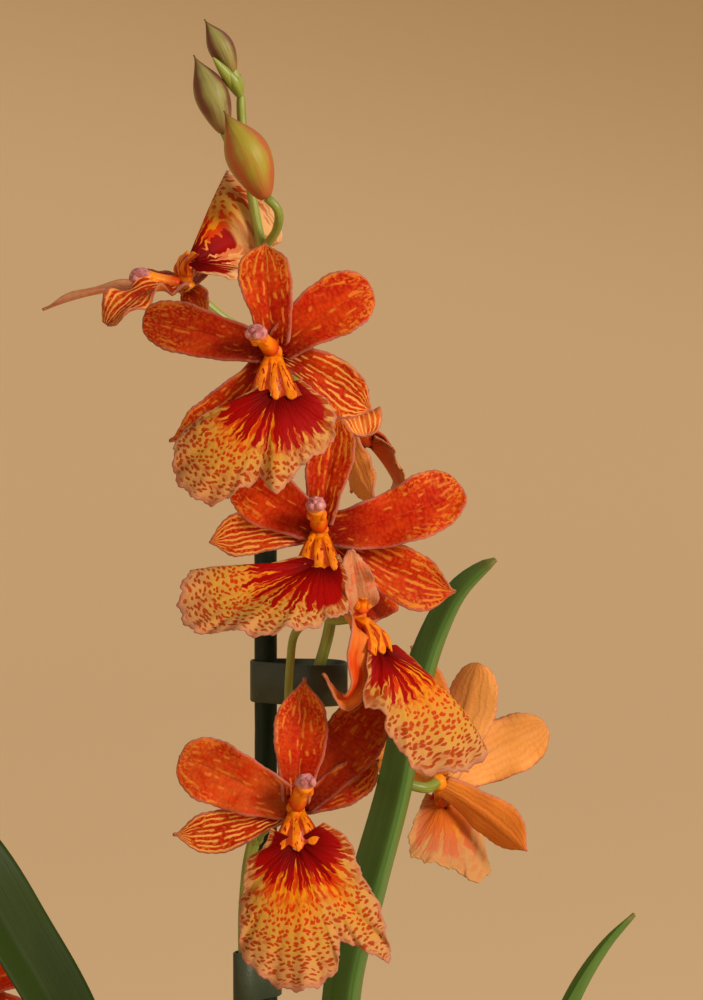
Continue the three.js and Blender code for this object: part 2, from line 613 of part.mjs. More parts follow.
// Column: stands out of the hub above the lip and ends in a rounded cap
function makeColumn(bloom, extra = 0) {
  const cap = placed(bloom, shapes[bloom.shape].cap);
  const way = cap.clone().sub(vec(bloom.centre)).normalize();
  const root = vec(bloom.centre).addScaledVector(way, HUB_RADIUS + CLEARANCE - extra);
  const body = solid(limb([root.toArray(), cap.toArray()], () => COLUMN_RADIUS + extra, 6, 2));
  return body.add(solid(ball(cap.toArray(), CAP_RADIUS + extra)));
}

function stalkOf(bloom) {
  const look = turnedLook(bloom, shapes[bloom.shape].looks);
  const start = vec(bloom.centre).addScaledVector(look, -(HUB_RADIUS + CLEARANCE));
  const neck = start.clone().addScaledVector(look, -NECK_LENGTH);
  const radius = (s) => (s < 0.45 ? mix(OVARY_RADIUS, STALK_RADIUS, s / 0.45) : STALK_RADIUS);
  return solid(limb([start.toArray(), neck.toArray(), ...bloom.stalk], radius, 6, 7));
}

function makeSpike(spike) {
  const radius = (s) => mix(STEM_FOOT_RADIUS, STEM_TOP_RADIUS, s);
  const stem = solid(limb(spike.stem, radius, 7, 2 * spike.stem.length));
  const stalks = spike.blooms.map((name) => stalkOf(blooms.find((bloom) => bloom.name === name)));
  const budStalks = spike.budStalks.map((line) => solid(limb(line, () => STEM_TOP_RADIUS, 6, 3)));
  const top = spike.stem[spike.stem.length - 1];
  const tips = spike.tipBuds.map((tip) => solid(limb([top, tip], (s) => 1.6 - 1.1 * s, 6, 2)));
  return fuse([stem, ...stalks, ...budStalks, ...tips]);
}

function makeBud({ root, tip, width }) {
  const swell = (s) => Math.max(0.5, width / 2 * Math.sin(Math.PI * (0.08 + 0.87 * s)) ** 0.75);
  return solid(limb([root, tip], swell, 8, 7));
}

// Tie: a band drawn round two circles, the stake's and the stem's
function makeTie({ low, height, round, loop }) {
  const [[x1, y1], r1] = round;
  const [[x2, y2], r2] = loop;
  const outline = (extra) => {
    const a = r1 + extra;
    const b = r2 + extra;
    const way = Math.atan2(y2 - y1, x2 - x1);
    const lean = Math.acos((a - b) / Math.hypot(x2 - x1, y2 - y1));
    const points = [];
    for (let k = 0; k <= 8; k++) {
      const angle = way + lean + (2 * Math.PI - 2 * lean) * k / 8;
      points.push([x1 + a * Math.cos(angle), y1 + a * Math.sin(angle)]);
    }
    for (let k = 0; k <= 8; k++) {
      const angle = way - lean + 2 * lean * k / 8;
      points.push([x2 + b * Math.cos(angle), y2 + b * Math.sin(angle)]);
    }
    return points.map(([x, y]) => new THREE.Vector2(x, y));
  };
  const extrude = (extra, bottom, tall) => solid(new THREE.ExtrudeGeometry(
    new THREE.Shape(outline(extra)), { depth: tall, bevelEnabled: false }).translate(0, 0, bottom));
  return extrude(CLEARANCE + TIE_THICK, low, height).subtract(extrude(CLEARANCE, low - 1, height + 2));
}

function makeStake(foot, top, radius) {
  return solid(limb([[...STAKE_AT, foot], [...STAKE_AT, mix(foot, top, 0.5)], [...STAKE_AT, top]],
    () => radius, 12, 4));
}

// What stands in the bark has a hole of its own there, a little larger all round
let bark = makeBark();
const bulbSolids = bulbs.map((bulb) => ({ name: bulb.name, body: solid(makeBulb(bulb)) }));
const fatBulbs = bulbs.map((bulb) => solid(makeBulb({
  ...bulb,
  foot: [bulb.foot[0], bulb.foot[1], bulb.foot[2] - CLEARANCE],
  width: bulb.width + 2 * CLEARANCE,
  depth: bulb.depth + 2 * CLEARANCE,
})));
for (const fat of fatBulbs) bark = bark.subtract(fat);
for (const leaf of leaves) {
  const [x, y, z] = leaf.line[0];
  if (z > BARK_TOP) continue;
  const roomy = { ...leaf, width: leaf.width + 3, line: [[x, y, z - 1], ...leaf.line.slice(1)] };
  bark = bark.subtract(solid(closedSheet(leafRows(roomy), LEAF_BLADE + 2)));
}
for (const spike of spikes) {
  const [x, y, z] = spike.stem[0];
  const line = [[x, y, z - CLEARANCE], ...spike.stem.slice(1, 3)];
  bark = bark.subtract(solid(limb(line, () => STEM_FOOT_RADIUS + 0.5, 8, 12)));
}
bark = bark.subtract(makeStake(STAKE_FOOT - CLEARANCE, BARK_TOP + 30, STAKE_RADIUS + CLEARANCE));

add('pot', makePot(), materials.clay);
add('bark', largest(bark), materials.bark);
for (const { name, body } of bulbSolids) add(name, body, materials.bulb);
for (const leaf of leaves) add(leaf.name, solid(closedSheet(leafRows(leaf), LEAF_BLADE)), materials.leaf);
for (const spike of spikes) add(spike.name, makeSpike(spike), materials.stem);
add('stake', makeStake(STAKE_FOOT, STAKE_TOP, STAKE_RADIUS), materials.stake);
for (const tie of ties) add(tie.name, makeTie(tie), materials.tie);
for (const bud of buds) add(bud.name, makeBud(bud), materials.bud);
for (const bloom of blooms) {
  add(`${bloom.name}_tepals`, makeTepals(bloom), materials.petal);
  add(`${bloom.name}_lip`, makeLip(bloom), materials.lip);
  add(`${bloom.name}_column`, makeColumn(bloom), materials.column);
}

export default part;
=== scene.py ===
"""Looks of the potted oncidopsis orchid.

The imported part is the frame. Most of its plain blades, limbs and bulbs are replaced here by finer ones
built from the same lines. Lengths are in millimetres until a mesh is made; the mesh is in metres.
Points are (x, y, z): +Z is up and the main blooms face -Y.
"""
import math

import bmesh
import bpy
import numpy as np
from mathutils import Matrix, Vector


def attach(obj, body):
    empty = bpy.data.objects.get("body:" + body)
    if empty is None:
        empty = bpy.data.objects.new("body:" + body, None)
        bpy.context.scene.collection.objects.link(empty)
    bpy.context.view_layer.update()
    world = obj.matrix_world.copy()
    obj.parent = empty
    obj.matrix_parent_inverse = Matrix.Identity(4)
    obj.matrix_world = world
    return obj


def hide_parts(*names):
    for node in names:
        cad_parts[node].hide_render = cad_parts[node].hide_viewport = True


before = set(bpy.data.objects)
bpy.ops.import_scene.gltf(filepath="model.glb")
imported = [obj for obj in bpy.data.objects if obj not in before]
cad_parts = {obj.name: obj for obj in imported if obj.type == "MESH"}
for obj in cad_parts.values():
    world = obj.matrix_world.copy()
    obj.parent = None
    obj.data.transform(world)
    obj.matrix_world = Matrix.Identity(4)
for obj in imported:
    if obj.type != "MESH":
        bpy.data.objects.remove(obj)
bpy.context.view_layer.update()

MM = 0.001
random = np.random.default_rng(11)

# Camera, as the photograph was taken
PHOTO_HEIGHT = 1000
PIXELS_PER_MM = 3.8
CAMERA_DISTANCE = 1150
CAMERA_PITCH = math.radians(5)
CAMERA_TARGET = (13.55, 0, 430)
SENSOR = 36

# Fineness
CURVE_STEPS = 24
PETAL_STEPS = 60
PETAL_HALVES = 11
LIP_RINGS = 28
LIP_RAYS = 210
LEAF_STEPS = 90
LEAF_HALVES = 7
CREST_STEPS = 26
CREST_HALVES = 26

# Thicknesses
PETAL_THICK = 0.75
LEAF_THICK = 1.2
TIE_THICK = 0.8
TIE_BEVEL = 0.3
TIE_ARC_POINTS = 25
CLEARANCE = 0.35

# Petals: CLAW is the share of the width at the root
PETAL_START = 1.5
PETAL_LEAST_HALF = 0.35
PETAL_GROOVE = 0.45
SEPAL_POINT = 0.6
SEPAL_STRIPES = 0.6
PETAL_STRIPES = 0.1
CLAW = 0.44

# Lip and crest: LIP_START is the share of a ray where the blade begins
LIP_START = 0.08
CREST_TEETH = 3
CREST_TOP_HALF = 2.2
CREST_FOOT_HALF = 6.6

# Column, stalks and bracts
HUB_RADIUS = 2.4
COLUMN_RADIUS = 2.0
CAP_RADIUS = 2.4
STALK_RADIUS = 1.1
OVARY_RADIUS = 1.6
OVARY_SHARE = 0.45
STALK_START = 1.8
NECK_LENGTH = 6
BRACT_LENGTH = 5
BRACT_WIDTH = 2.6
TIP_BUD_DROP = 6

# Stems and stake
STEM_FOOT_RADIUS = 2.3
STEM_TOP_RADIUS = 1.2
STAKE_AT = (-9.2, 5)
STAKE_RADIUS = 3
STAKE_FOOT = 20
STAKE_TOP = 432
STAKE_DOME = 2.5

# Pot and bark
POT_HEIGHT = 115
POT_TOP_RADIUS = 65
POT_FOOT_RADIUS = 45
POT_WALL = 6
POT_FLOOR = 8
POT_RIM_HEIGHT = 26
POT_RIM_STEP = 4
POT_SIDES = 144
POT_ROUNDING = 2
AXIS_HOLE = 0.5
DRAIN_HOLES = 3
DRAIN_RADIUS = 5
DRAIN_SIDES = 40
DRAIN_CIRCLE = 25
BARK_TOP = 96
BARK_GAP = 0.8
BARK_SIDES = 72
CHIPS = 230
CHIP_LEAST = (3.2, 2.2, 1.2)
CHIP_MOST = (6.2, 4.2, 2.4)
CHIP_LEAN = 0.6
CHIP_INSET = 5
GOLDEN_ANGLE = math.pi * (3 - math.sqrt(5))

# Marks
PETAL_LANES = 8
DASH_LENGTH = 3.4
BLOTCH_REACH = 13.0
FINGERS_A_RADIAN = 12.0

# Studio bowl, lamps and world, in metres
BOWL_FLAT = 2.8
BOWL_REACH = 8.0
BOWL_RISE = 2.6
BOWL_SIDES = 96
BOWL_COVE_STEPS = 24
LAMP_TARGET = (0, 0, 0.42)
KEY_LAMP = dict(at=(2.0, -1.7, 1.5), size=0.9, power=74, colour=(1, 0.92, 0.8))
FILL_LAMP = dict(at=(-2.0, -1.6, 0.8), size=1.4, power=5, colour=(1, 0.9, 0.76))
WORLD_COLOUR = (1, 0.87, 0.7, 1)
WORLD_STRENGTH = 0.4


def vec(values):
    return np.array(values, float)


def unit(v):
    return v / np.linalg.norm(v)


def mix(a, b, t):
    return a + (b - a) * t


def smooth(low, high, x):
    t = np.clip((x - low) / (high - low), 0, 1)
    return t * t * (3 - 2 * t)


def vectors(*values):
    """Vectors for a set of points, from values that are the same or differ along its rows or columns."""
    return np.stack(np.broadcast_arrays(*values), -1)


def look_of(yaw, pitch):
    """The way a bloom looks: 0, 0 is towards -Y; yaw turns it to +X, pitch turns it up."""
    y, p = math.radians(yaw), math.radians(pitch)
    return vec((math.sin(y) * math.cos(p), -math.cos(y) * math.cos(p), math.sin(p)))


def turned(point, degrees):
    a = math.radians(degrees)
    x, y, z = point
    return vec((x * math.cos(a) - y * math.sin(a), x * math.sin(a) + y * math.cos(a), z))


def across(way, facing):
    """The part of facing that stands square to way, as a unit vector."""
    return unit(facing - facing.dot(way) * way)


def lengths_along(points):
    return np.r_[0, np.cumsum(np.linalg.norm(np.diff(points, axis=0), axis=1))]


def tangents_of(points):
    steps = np.gradient(points, axis=0)
    return steps / np.linalg.norm(steps, axis=1)[:, None]


def curve_points(points, count):
    """Evenly spaced points on a centripetal Catmull-Rom curve."""
    p = [vec(q) for q in points]
    p = [2 * p[0] - p[1], *p, 2 * p[-1] - p[-2]]
    dense = []
    for before, here, there, after in zip(p, p[1:], p[2:], p[3:]):
        a, b, c = (np.linalg.norm(gap) ** 0.5 for gap in (here - before, there - here, after - there))
        start = ((here - before) / a - (there - before) / (a + b) + (there - here) / b) * b
        end = ((there - here) / b - (after - here) / (b + c) + (after - there) / c) * b
        for t in np.linspace(0, 1, CURVE_STEPS, endpoint=False):
            dense.append(here + start * t + (3 * (there - here) - 2 * start - end) * t**2
                         + (2 * (here - there) + start + end) * t**3)
    dense = np.array([*dense, p[-2]])
    lengths = lengths_along(dense)
    wanted = np.linspace(0, lengths[-1], count)
    return vectors(*(np.interp(wanted, lengths, axis) for axis in dense.T))


def through(points, x):
    """Catmull-Rom through a list of points, x from 0 to its last index."""
    last = len(points) - 1
    i = min(last - 1, int(x))
    t = x - i
    b, c = points[i], points[i + 1]
    a = points[i - 1] if i > 0 else 2 * b - c
    d = points[i + 2] if i + 2 <= last else 2 * c - b
    bend = (2 * a - 5 * b + 4 * c - d) * t**2 + (3 * b - a - 3 * c + d) * t**3
    return 0.5 * (2 * b + (c - a) * t + bend)


class Form:
    """Points and faces of one piece, with three vectors a point for its material: grow, span and mark."""

    def __init__(self, mark=(0, 0, 0)):
        self.points = []
        self.faces = []
        self.grow = []
        self.span = []
        self.marks = []
        self.mark = mark

    def add(self, points, faces, grow, span):
        base = sum(len(p) for p in self.points)
        self.points.append(np.reshape(points, (-1, 3)))
        self.grow.append(np.reshape(grow, (-1, 3)))
        self.span.append(np.reshape(span, (-1, 3)))
        self.marks.append(np.tile(vec(self.mark), (len(self.points[-1]), 1)))
        self.faces += [tuple(base + k for k in face) for face in faces]

    def piece(self, name, material, slot, stands_for, smooth_shade=True):
        mesh = bpy.data.meshes.new(name)
        mesh.from_pydata((np.concatenate(self.points) * MM).tolist(), [], self.faces)
        for label, values in (("grow", self.grow), ("span", self.span), ("mark", self.marks)):
            layer = mesh.attributes.new(label, "FLOAT_VECTOR", "POINT")
            layer.data.foreach_set("vector", np.concatenate(values).astype(np.float32).ravel())
        work = bmesh.new()
        work.from_mesh(mesh)
        bmesh.ops.recalc_face_normals(work, faces=work.faces)
        work.to_mesh(mesh)
        work.free()
        mesh.polygons.foreach_set("use_smooth", [smooth_shade] * len(mesh.polygons))
        mesh.materials.append(material)
        piece = bpy.data.objects.new(name, mesh)
        bpy.context.scene.collection.objects.link(piece)
        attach(piece, "root")
        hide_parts(*stands_for)
        return piece


def grid_faces(rows, columns, flip=False, wrap=False):
    faces = []
    for i in range(rows - 1):
        for j in range(columns if wrap else columns - 1):
            k = (j + 1) % columns
            face = (i * columns + j, i * columns + k, (i + 1) * columns + k, (i + 1) * columns + j)
            faces.append(face[::-1] if flip else face)
    return faces


def tube_faces(rings, sides):
    """Faces round a row of rings, closed at both ends."""
    last = (rings - 1) * sides
    ends = [tuple(range(sides))[::-1], tuple(range(last, last + sides))]
    return grid_faces(rings, sides, wrap=True) + ends


def angles_round(sides):
    return np.arange(sides) * 2 * math.pi / sides


def add_sheet(form, rows, thickness, grow, span, look):
    """A blade with a face, on the side it looks to, and a back. grow's third value is 1 on the face."""
    normal = np.cross(np.gradient(rows, axis=1), np.gradient(rows, axis=0))
    normal /= np.maximum(np.linalg.norm(normal, axis=2), 1e-9)[:, :, None]
    if (normal @ look).sum() < 0:
        normal = -normal
    n, m = rows.shape[:2]
    face = rows + normal * thickness[:, :, None] / 2
    back = rows - normal * thickness[:, :, None] / 2
    size = n * m
    faces = grid_faces(n, m)
    faces += [tuple(size + k for k in f) for f in grid_faces(n, m, flip=True)]
    border = list(range(m)) + [i * m + m - 1 for i in range(1, n)]
    border += [(n - 1) * m + j for j in range(m - 2, -1, -1)] + [i * m for i in range(n - 2, 0, -1)]
    for a, b in zip(border, border[1:] + border[:1]):
        faces.append((b, a, size + a, size + b))
    back_grow = grow * (1, 1, 0)
    form.add(np.concatenate([face, back]), faces, np.concatenate([grow, back_grow]),
             np.concatenate([span, span]))


def add_limb(form, points, radius, sides, seed=0, flat=1, flat_way=None, ridges=0, ridge_depth=0.0):
    """A round limb along points, with its radius a function of the way along."""
    tangents = tangents_of(points)
    wide = unit(np.cross(tangents[0], (0.3, 1, 0.2) if abs(tangents[0][1]) < 0.9 else (1, 0, 0)))
    angles = angles_round(sides)
    lengths = lengths_along(points)
    rings, grow, span = [], [], []
    for middle, tangent, length in zip(points, tangents, lengths):
        if flat_way is None:
            wide = across(tangent, wide)
        else:
            wide = unit(np.cross(flat_way, tangent))
        s = length / lengths[-1]
        reach = radius(s) * (1 + ridge_depth * np.cos(ridges * angles))
        sideways = reach * np.cos(angles)
        rings.append(middle + np.outer(sideways, wide)
                     + np.outer(reach * flat * np.sin(angles), np.cross(tangent, wide)))
        grow.append(vectors(s, angles / (2 * math.pi), 1))
        span.append(vectors(length, sideways, seed))
    form.add(rings, tube_faces(len(points), sides), grow, span)


def add_ball(form, centre, axes, seed=0, rings=10, sides=16, bumps=0.0):
    """A rounded lump; axes are its three half axes as vectors. bumps roughens it."""
    points, grow, span = [], [], []
    for i in range(1, rings):
        tall = math.pi * i / rings
        for k in range(sides):
            turn = 2 * math.pi * k / sides
            way = vec((math.sin(tall) * math.cos(turn), math.sin(tall) * math.sin(turn), math.cos(tall)))
            grown = 1 + bumps * math.sin(5 * turn + seed) * math.sin(4 * tall + seed)
            points.append(centre + grown * sum(w * axis for w, axis in zip(way, axes)))
            grow.append((i / rings, k / sides, 1))
            span.append((way[2] * np.linalg.norm(axes[2]), way[0] * np.linalg.norm(axes[0]), seed))
    form.add(points, tube_faces(rings - 1, sides), grow, span)


def lathe(form, profile, sides, seed=0):
    """A closed round body, from the radius and height of its rings."""
    angles = angles_round(sides)
    grow = [vectors(k / len(profile), angles / (2 * math.pi), 1) for k in range(len(profile))]
    span = [vectors(z, r, np.full(sides, seed)) for r, z in profile]
    form.add(ring_points(profile, sides), tube_faces(len(profile), sides), grow, span)


def ring_points(profile, sides):
    angles = angles_round(sides)
    return [[(r * math.cos(a), r * math.sin(a), z) for a in angles] for r, z in profile]


# Colours, given as on a screen, 0 to 255


def srgb(red, green, blue):
    def linear(c):
        c /= 255
        return c / 12.92 if c < 0.04045 else ((c + 0.055) / 1.055) ** 2.4
    return (linear(red), linear(green), linear(blue), 1)


RED = srgb(180, 30, 2)
DEEP_RED = srgb(118, 8, 1)
ORANGE = srgb(204, 62, 8)
YELLOW = srgb(222, 138, 46)
PALE_YELLOW = srgb(236, 170, 84)
GOLD = srgb(218, 130, 12)
STRAW = srgb(196, 142, 56)
TAN = srgb(180, 100, 44)
FLESH = srgb(222, 126, 50)
PALE_FLESH = srgb(240, 172, 96)
LILAC = srgb(178, 114, 100)
PINK = srgb(212, 150, 122)
DULL_PINK = srgb(196, 130, 110)
PINK_CREAM = srgb(194, 140, 86)
CREAM = srgb(236, 184, 126)
# Painted shade: tepals that lie in shadow are darkened towards this brown.
PAINTED_SHADE_BROWN = srgb(70, 18, 2)
CRIMSON = srgb(150, 4, 1)
DARK_CRIMSON = srgb(96, 0, 0)
SPOT_RED = srgb(196, 46, 2)
SPOT_BROWN = srgb(156, 54, 10)
LIP_BACK_SPOT = srgb(196, 90, 50)
LIP_BACK_BLOTCH = srgb(200, 70, 40)


class Shader:
    """A material's nodes. A value is a number, a colour or the output of another node."""

    def __init__(self, name):
        self.material = bpy.data.materials.new(name)
        self.material.use_nodes = True
        self.tree = self.material.node_tree
        self.tree.nodes.clear()

    def node(self, kind, inputs, **settings):
        """A new node, with values for its sockets by their name or number."""
        node = self.tree.nodes.new("ShaderNode" + kind)
        for setting, value in settings.items():
            setattr(node, setting, value)
        for label, value in inputs.items():
            if isinstance(value, bpy.types.NodeSocket):
                self.tree.links.new(value, node.inputs[label])
            else:
                node.inputs[label].default_value = value
        return node

    def math(self, operation, *values):
        return self.node("Math", dict(enumerate(values)), operation=operation).outputs[0]

    def add(self, a, b):
        return self.math("ADD", a, b)

    def minus(self, a, b):
        return self.math("SUBTRACT", a, b)

    def times(self, a, b):
        return self.math("MULTIPLY", a, b)

    def absolute(self, a):
        return self.math("ABSOLUTE", a)

    def swing(self, noise, size):
        """Noise made to swing about 0."""
        return self.times(self.add(noise, -0.5), size)

    def step(self, low, high, value, low_to=0.0, high_to=1.0):
        """Smooth step of a value from low to high."""
        inputs = {"Value": value, "From Min": low, "From Max": high, "To Min": low_to, "To Max": high_to}
        return self.node("MapRange", inputs, interpolation_type="SMOOTHSTEP").outputs["Result"]

    def less(self, low, high, value):
        """1 below low, 0 above high."""
        return self.step(low, high, value, 1.0, 0.0)

    def gap_to_end(self, distance, share):
        """How far is left, where distance is the given share of the whole."""
        whole = self.math("DIVIDE", 1.0, self.math("MAXIMUM", share, 0.02))
        return self.times(distance, self.add(whole, -1.0))

    def mix(self, share, a, b):
        return self.node("Mix", {0: share, 6: a, 7: b}, data_type="RGBA").outputs[2]

    def tint(self, share, most, a, b):
        """From a towards b, by most where share is 1."""
        return self.mix(self.times(share, most), a, b)

    def fade(self, low, high, value, a, b, most=1.0):
        """From a towards b as a value goes from low to high."""
        return self.mix(self.step(low, high, value, 0.0, most), a, b)

    def split(self, vector):
        return self.node("SeparateXYZ", {0: vector}).outputs[:3]

    def attribute(self, label):
        """The three values of a point's vector."""
        return self.split(self.node("Attribute", {}, attribute_name=label).outputs["Vector"])

    def place(self):
        return self.node("TexCoord", {}).outputs["Object"]

    def combine(self, x, y, z=0.0):
        return self.node("CombineXYZ", {0: x, 1: y, 2: z}).outputs[0]

    def noise(self, vector, scale, detail=2.0, rough=0.5):
        inputs = {"Vector": vector, "Scale": scale, "Detail": detail, "Roughness": rough}
        return self.node("TexNoise", inputs).outputs[0]

    def flecks(self, x, x_scale, y, y_scale, seed, detail=2.0, rough=0.5):
        """Noise over two values, each with its own scale, and another for each seed."""
        vector = self.combine(self.times(x, x_scale), self.times(y, y_scale), seed)
        return self.noise(vector, 1.0, detail, rough)

    def cells(self, x, y, scatter=1.0):
        """Distance to the nearest of scattered points, in a plane."""
        inputs = {"Vector": self.combine(x, y), "Scale": 1.0, "Randomness": scatter}
        return self.node("TexVoronoi", inputs, voronoi_dimensions="2D").outputs["Distance"]

    def finish(self, colour, roughness, height=None, depth=0.3, **constants):
        """The skin's shader. height raises it by up to depth in millimetres."""
        inputs = {name.replace("_", " "): value for name, value in constants.items()}
        inputs.update({"Base Color": colour, "Roughness": roughness})
        if height is not None:
            bump = self.node("Bump", {"Strength": 1, "Distance": depth * MM, "Height": height})
            inputs["Normal"] = bump.outputs[0]
        shader = self.node("BsdfPrincipled", inputs)
        self.node("OutputMaterial", {0: shader.outputs[0]})
        return self.material


# Materials


def petal_material():
    """Red petal with rows of yellow dashes between its veins and a lilac edge; plainer on its back.
    mark holds how striped and how pale a petal is, and how much painted shade darkens it towards brown."""
    m = Shader("petal_skin")
    along, across_share, face = m.attribute("grow")
    far, wide, seed = m.attribute("span")
    stripes, pale, painted_shade = m.attribute("mark")
    to_side = m.gap_to_end(m.absolute(wide), m.absolute(across_share))
    to_rim = m.math("MINIMUM", to_side, m.gap_to_end(far, along))
    patch = m.flecks(far, 0.12, wide, 0.2, seed)
    wobble = m.flecks(far, 0.25, wide, 0.4, seed)
    fine = m.flecks(far, 1.1, wide, 1.4, seed)
    lane = m.add(m.times(across_share, PETAL_LANES / 2), m.times(wobble, 1.2))
    number = m.math("ROUND", lane)
    off = m.absolute(m.minus(lane, number))
    broken = m.flecks(number, 3.7, far, 1 / DASH_LENGTH, m.times(seed, 3.0), 1.0)
    chance = m.add(m.times(stripes, 0.22), m.step(0.3, 0.95, along, 0.0, 0.12))
    dashes = m.times(m.less(0.09, 0.27, m.add(off, m.swing(fine, 0.25))),
                     m.step(0.6, 0.72, m.add(broken, chance)))
    net = m.step(0.2, 0.62, m.cells(m.times(lane, 1.25), m.times(far, 1.05), 0.85))
    front = m.fade(0.02, 0.4, along, DEEP_RED, m.fade(0.35, 0.7, patch, RED, ORANGE))
    front = m.mix(m.times(m.minus(1.0, net), m.step(0.1, 0.7, along, 0.05, 0.35)), front, ORANGE)
    front = m.tint(net, 0.25, front, DEEP_RED)
    mottled = m.times(m.less(1.0, 6.0, to_rim), m.step(0.48, 0.62, fine))
    front = m.tint(mottled, m.step(0.4, 0.8, along, 0.1, 0.6), front, YELLOW)
    plain = m.fade(0.35, 0.7, wobble, FLESH, ORANGE)
    front = m.mix(pale, front, m.mix(0.2, plain, front))
    front = m.fade(1.0, 2.0, pale, front, m.fade(0.5, 0.58, broken, PINK_CREAM, ORANGE), 0.8)
    front = m.fade(1.4, 2.0, pale, front, PINK, 0.45)
    dash = m.fade(0.6, 1.0, stripes, YELLOW, PALE_YELLOW)
    front = m.tint(dashes, m.add(0.5, m.times(stripes, 0.45)), front, dash)
    veins = m.less(0.0, 0.35, off)
    behind = m.fade(0.5, 1.5, pale, FLESH, PALE_FLESH, 0.9)
    behind = m.fade(1.4, 2.0, pale, behind, DULL_PINK, 0.7)
    behind = m.tint(veins, 0.14, behind, ORANGE)
    behind = m.fade(0.4, 0.7, patch, behind, YELLOW, 0.3)
    rim = m.less(0.0, 0.75, m.add(to_rim, m.swing(fine, 1.2)))
    skin = m.tint(rim, 0.7, m.mix(face, behind, front), LILAC)
    # Painted shade: a tepal that lies in shadow is darkened towards brown by its third mark.
    skin = m.tint(painted_shade, 0.75, skin, PAINTED_SHADE_BROWN)
    height = m.add(m.times(net, -0.1), m.times(veins, 0.18))
    return m.finish(skin, m.add(0.5, m.times(patch, 0.2)), height, 0.25, Specular_IOR_Level=0.07)


def lip_material():
    """Dark red blotch with fingers at the heart, spots on yellow, and a pale pink edge.
    mark holds how far the blotch reaches and how pale a lip is."""
    m = Shader("lip_skin")
    out, around, face = m.attribute("grow")
    far, angle, seed = m.attribute("span")
    size, pale, _ = m.attribute("mark")
    pale = m.times(pale, m.less(0.36, 0.52, around))
    wobble = m.flecks(far, 0.5, angle, 5.0, seed)
    bent = m.add(angle, m.swing(wobble, 0.12))
    finger = m.noise(m.combine(m.times(bent, FINGERS_A_RADIAN), seed), 1.0, 1.0)
    finger = m.step(0.36, 0.6, finger)
    middle = m.less(0.35, 0.75, m.absolute(angle))
    short = m.minus(BLOTCH_REACH, m.times(middle, 6.5))
    limit = m.add(short, m.times(finger, m.add(4.0, m.times(middle, 7.0))))
    blotch = m.times(m.less(-0.7, 0.6, m.minus(far, m.times(limit, size))),
                     m.less(0.76, 0.86, m.add(out, m.swing(wobble, 0.15))))
    streaks = m.cells(m.times(bent, 15.0), m.add(m.times(far, 0.2), seed))
    dots = m.cells(m.times(bent, 17.0), m.add(m.times(far, m.times(far, 1 / 70)), seed), 0.9)
    loose = m.swing(wobble, 0.5)
    outer = m.step(14.0, 21.0, far)
    near_spots = m.less(0.0, 0.16, m.minus(streaks, m.add(0.37, loose)))
    far_spots = m.less(0.0, 0.14, m.minus(dots, m.add(0.26, loose)))
    spots = m.add(m.times(near_spots, m.minus(1.0, outer)), m.times(far_spots, outer))
    spots = m.times(spots, m.less(0.93, 1.0, out))
    front = m.fade(0.3, 0.7, out, GOLD, STRAW)
    front = m.fade(0.68, 0.95, m.add(out, m.swing(wobble, 0.3)), front, PINK_CREAM)
    front = m.mix(m.times(m.step(0.5, 0.8, wobble), m.step(0.5, 0.9, out)), front, TAN)
    front = m.fade(0.94, 1.0, out, front, LILAC, 0.8)
    front = m.tint(pale, 0.7, front, CREAM)
    spot = m.fade(0.45, 0.9, out, SPOT_RED, SPOT_BROWN)
    front = m.tint(spots, m.minus(0.95, m.times(pale, 0.4)), front, spot)
    front = m.mix(blotch, front, m.mix(m.less(2.0, 12.0, far), CRIMSON, DARK_CRIMSON))
    behind = m.tint(spots, 0.3, m.fade(0.2, 0.7, out, GOLD, PINK_CREAM), LIP_BACK_SPOT)
    behind = m.tint(blotch, 0.5, behind, LIP_BACK_BLOTCH)
    height = m.add(m.times(dots, 0.4), m.times(finger, 0.5))
    return m.finish(m.mix(face, behind, front), 0.55, height, 0.25, Specular_IOR_Level=0.06)


def callus_material():
    """Waxy yellow ridges with dark red lines between them."""
    m = Shader("callus_yellow")
    along, ridge, _ = m.attribute("grow")
    far, wide, seed = m.attribute("span")
    wobble = m.noise(m.place(), 700.0)
    skin = m.fade(0.3, 0.7, wobble, srgb(240, 144, 10), srgb(226, 108, 6))
    groove = m.times(m.less(0.2, 0.55, m.add(ridge, m.swing(wobble, 0.9))), m.step(0.1, 0.5, along))
    skin = m.tint(groove, 0.85, skin, srgb(160, 24, 2))
    streak = m.step(0.58, 0.64, m.flecks(wide, 2.4, far, 0.35, seed))
    skin = m.tint(streak, m.step(0.2, 0.4, along), skin, srgb(150, 20, 2))
    return m.finish(skin, 0.42, wobble, 0.3, Specular_IOR_Level=0.2)


def cap_material():
    m = Shader("cap_lilac")
    cloud = m.noise(m.place(), 500.0)
    skin = m.fade(0.35, 0.7, cloud, srgb(210, 144, 144), srgb(158, 84, 88))
    return m.finish(skin, 0.45, cloud, 0.25, Specular_IOR_Level=0.3)


def column_material():
    m = Shader("column_orange")
    along, _, _ = m.attribute("grow")
    cloud = m.noise(m.place(), 450.0)
    skin = m.fade(0.0, 0.6, along, srgb(206, 66, 4), srgb(236, 140, 12))
    skin = m.fade(0.56, 0.66, cloud, skin, srgb(196, 60, 10), 0.6)
    return m.finish(skin, 0.42, cloud, 0.25, Specular_IOR_Level=0.25)


def green_material(name, light, dark, scale, roughness):
    """Stems and bulbs: streaked green."""
    m = Shader(name)
    far, wide, seed = m.attribute("span")
    streak = m.flecks(far, 0.03, wide, 0.9, seed, 3.0, 0.6)
    cloud = m.noise(m.place(), scale, 3.0)
    skin = m.fade(0.3, 0.75, streak, light, dark)
    skin = m.fade(0.45, 0.8, cloud, skin, dark, 0.5)
    height = m.add(streak, m.times(cloud, 0.4))
    return m.finish(skin, m.add(roughness, m.times(cloud, 0.12)), height, 0.25, Subsurface_Weight=0.05)


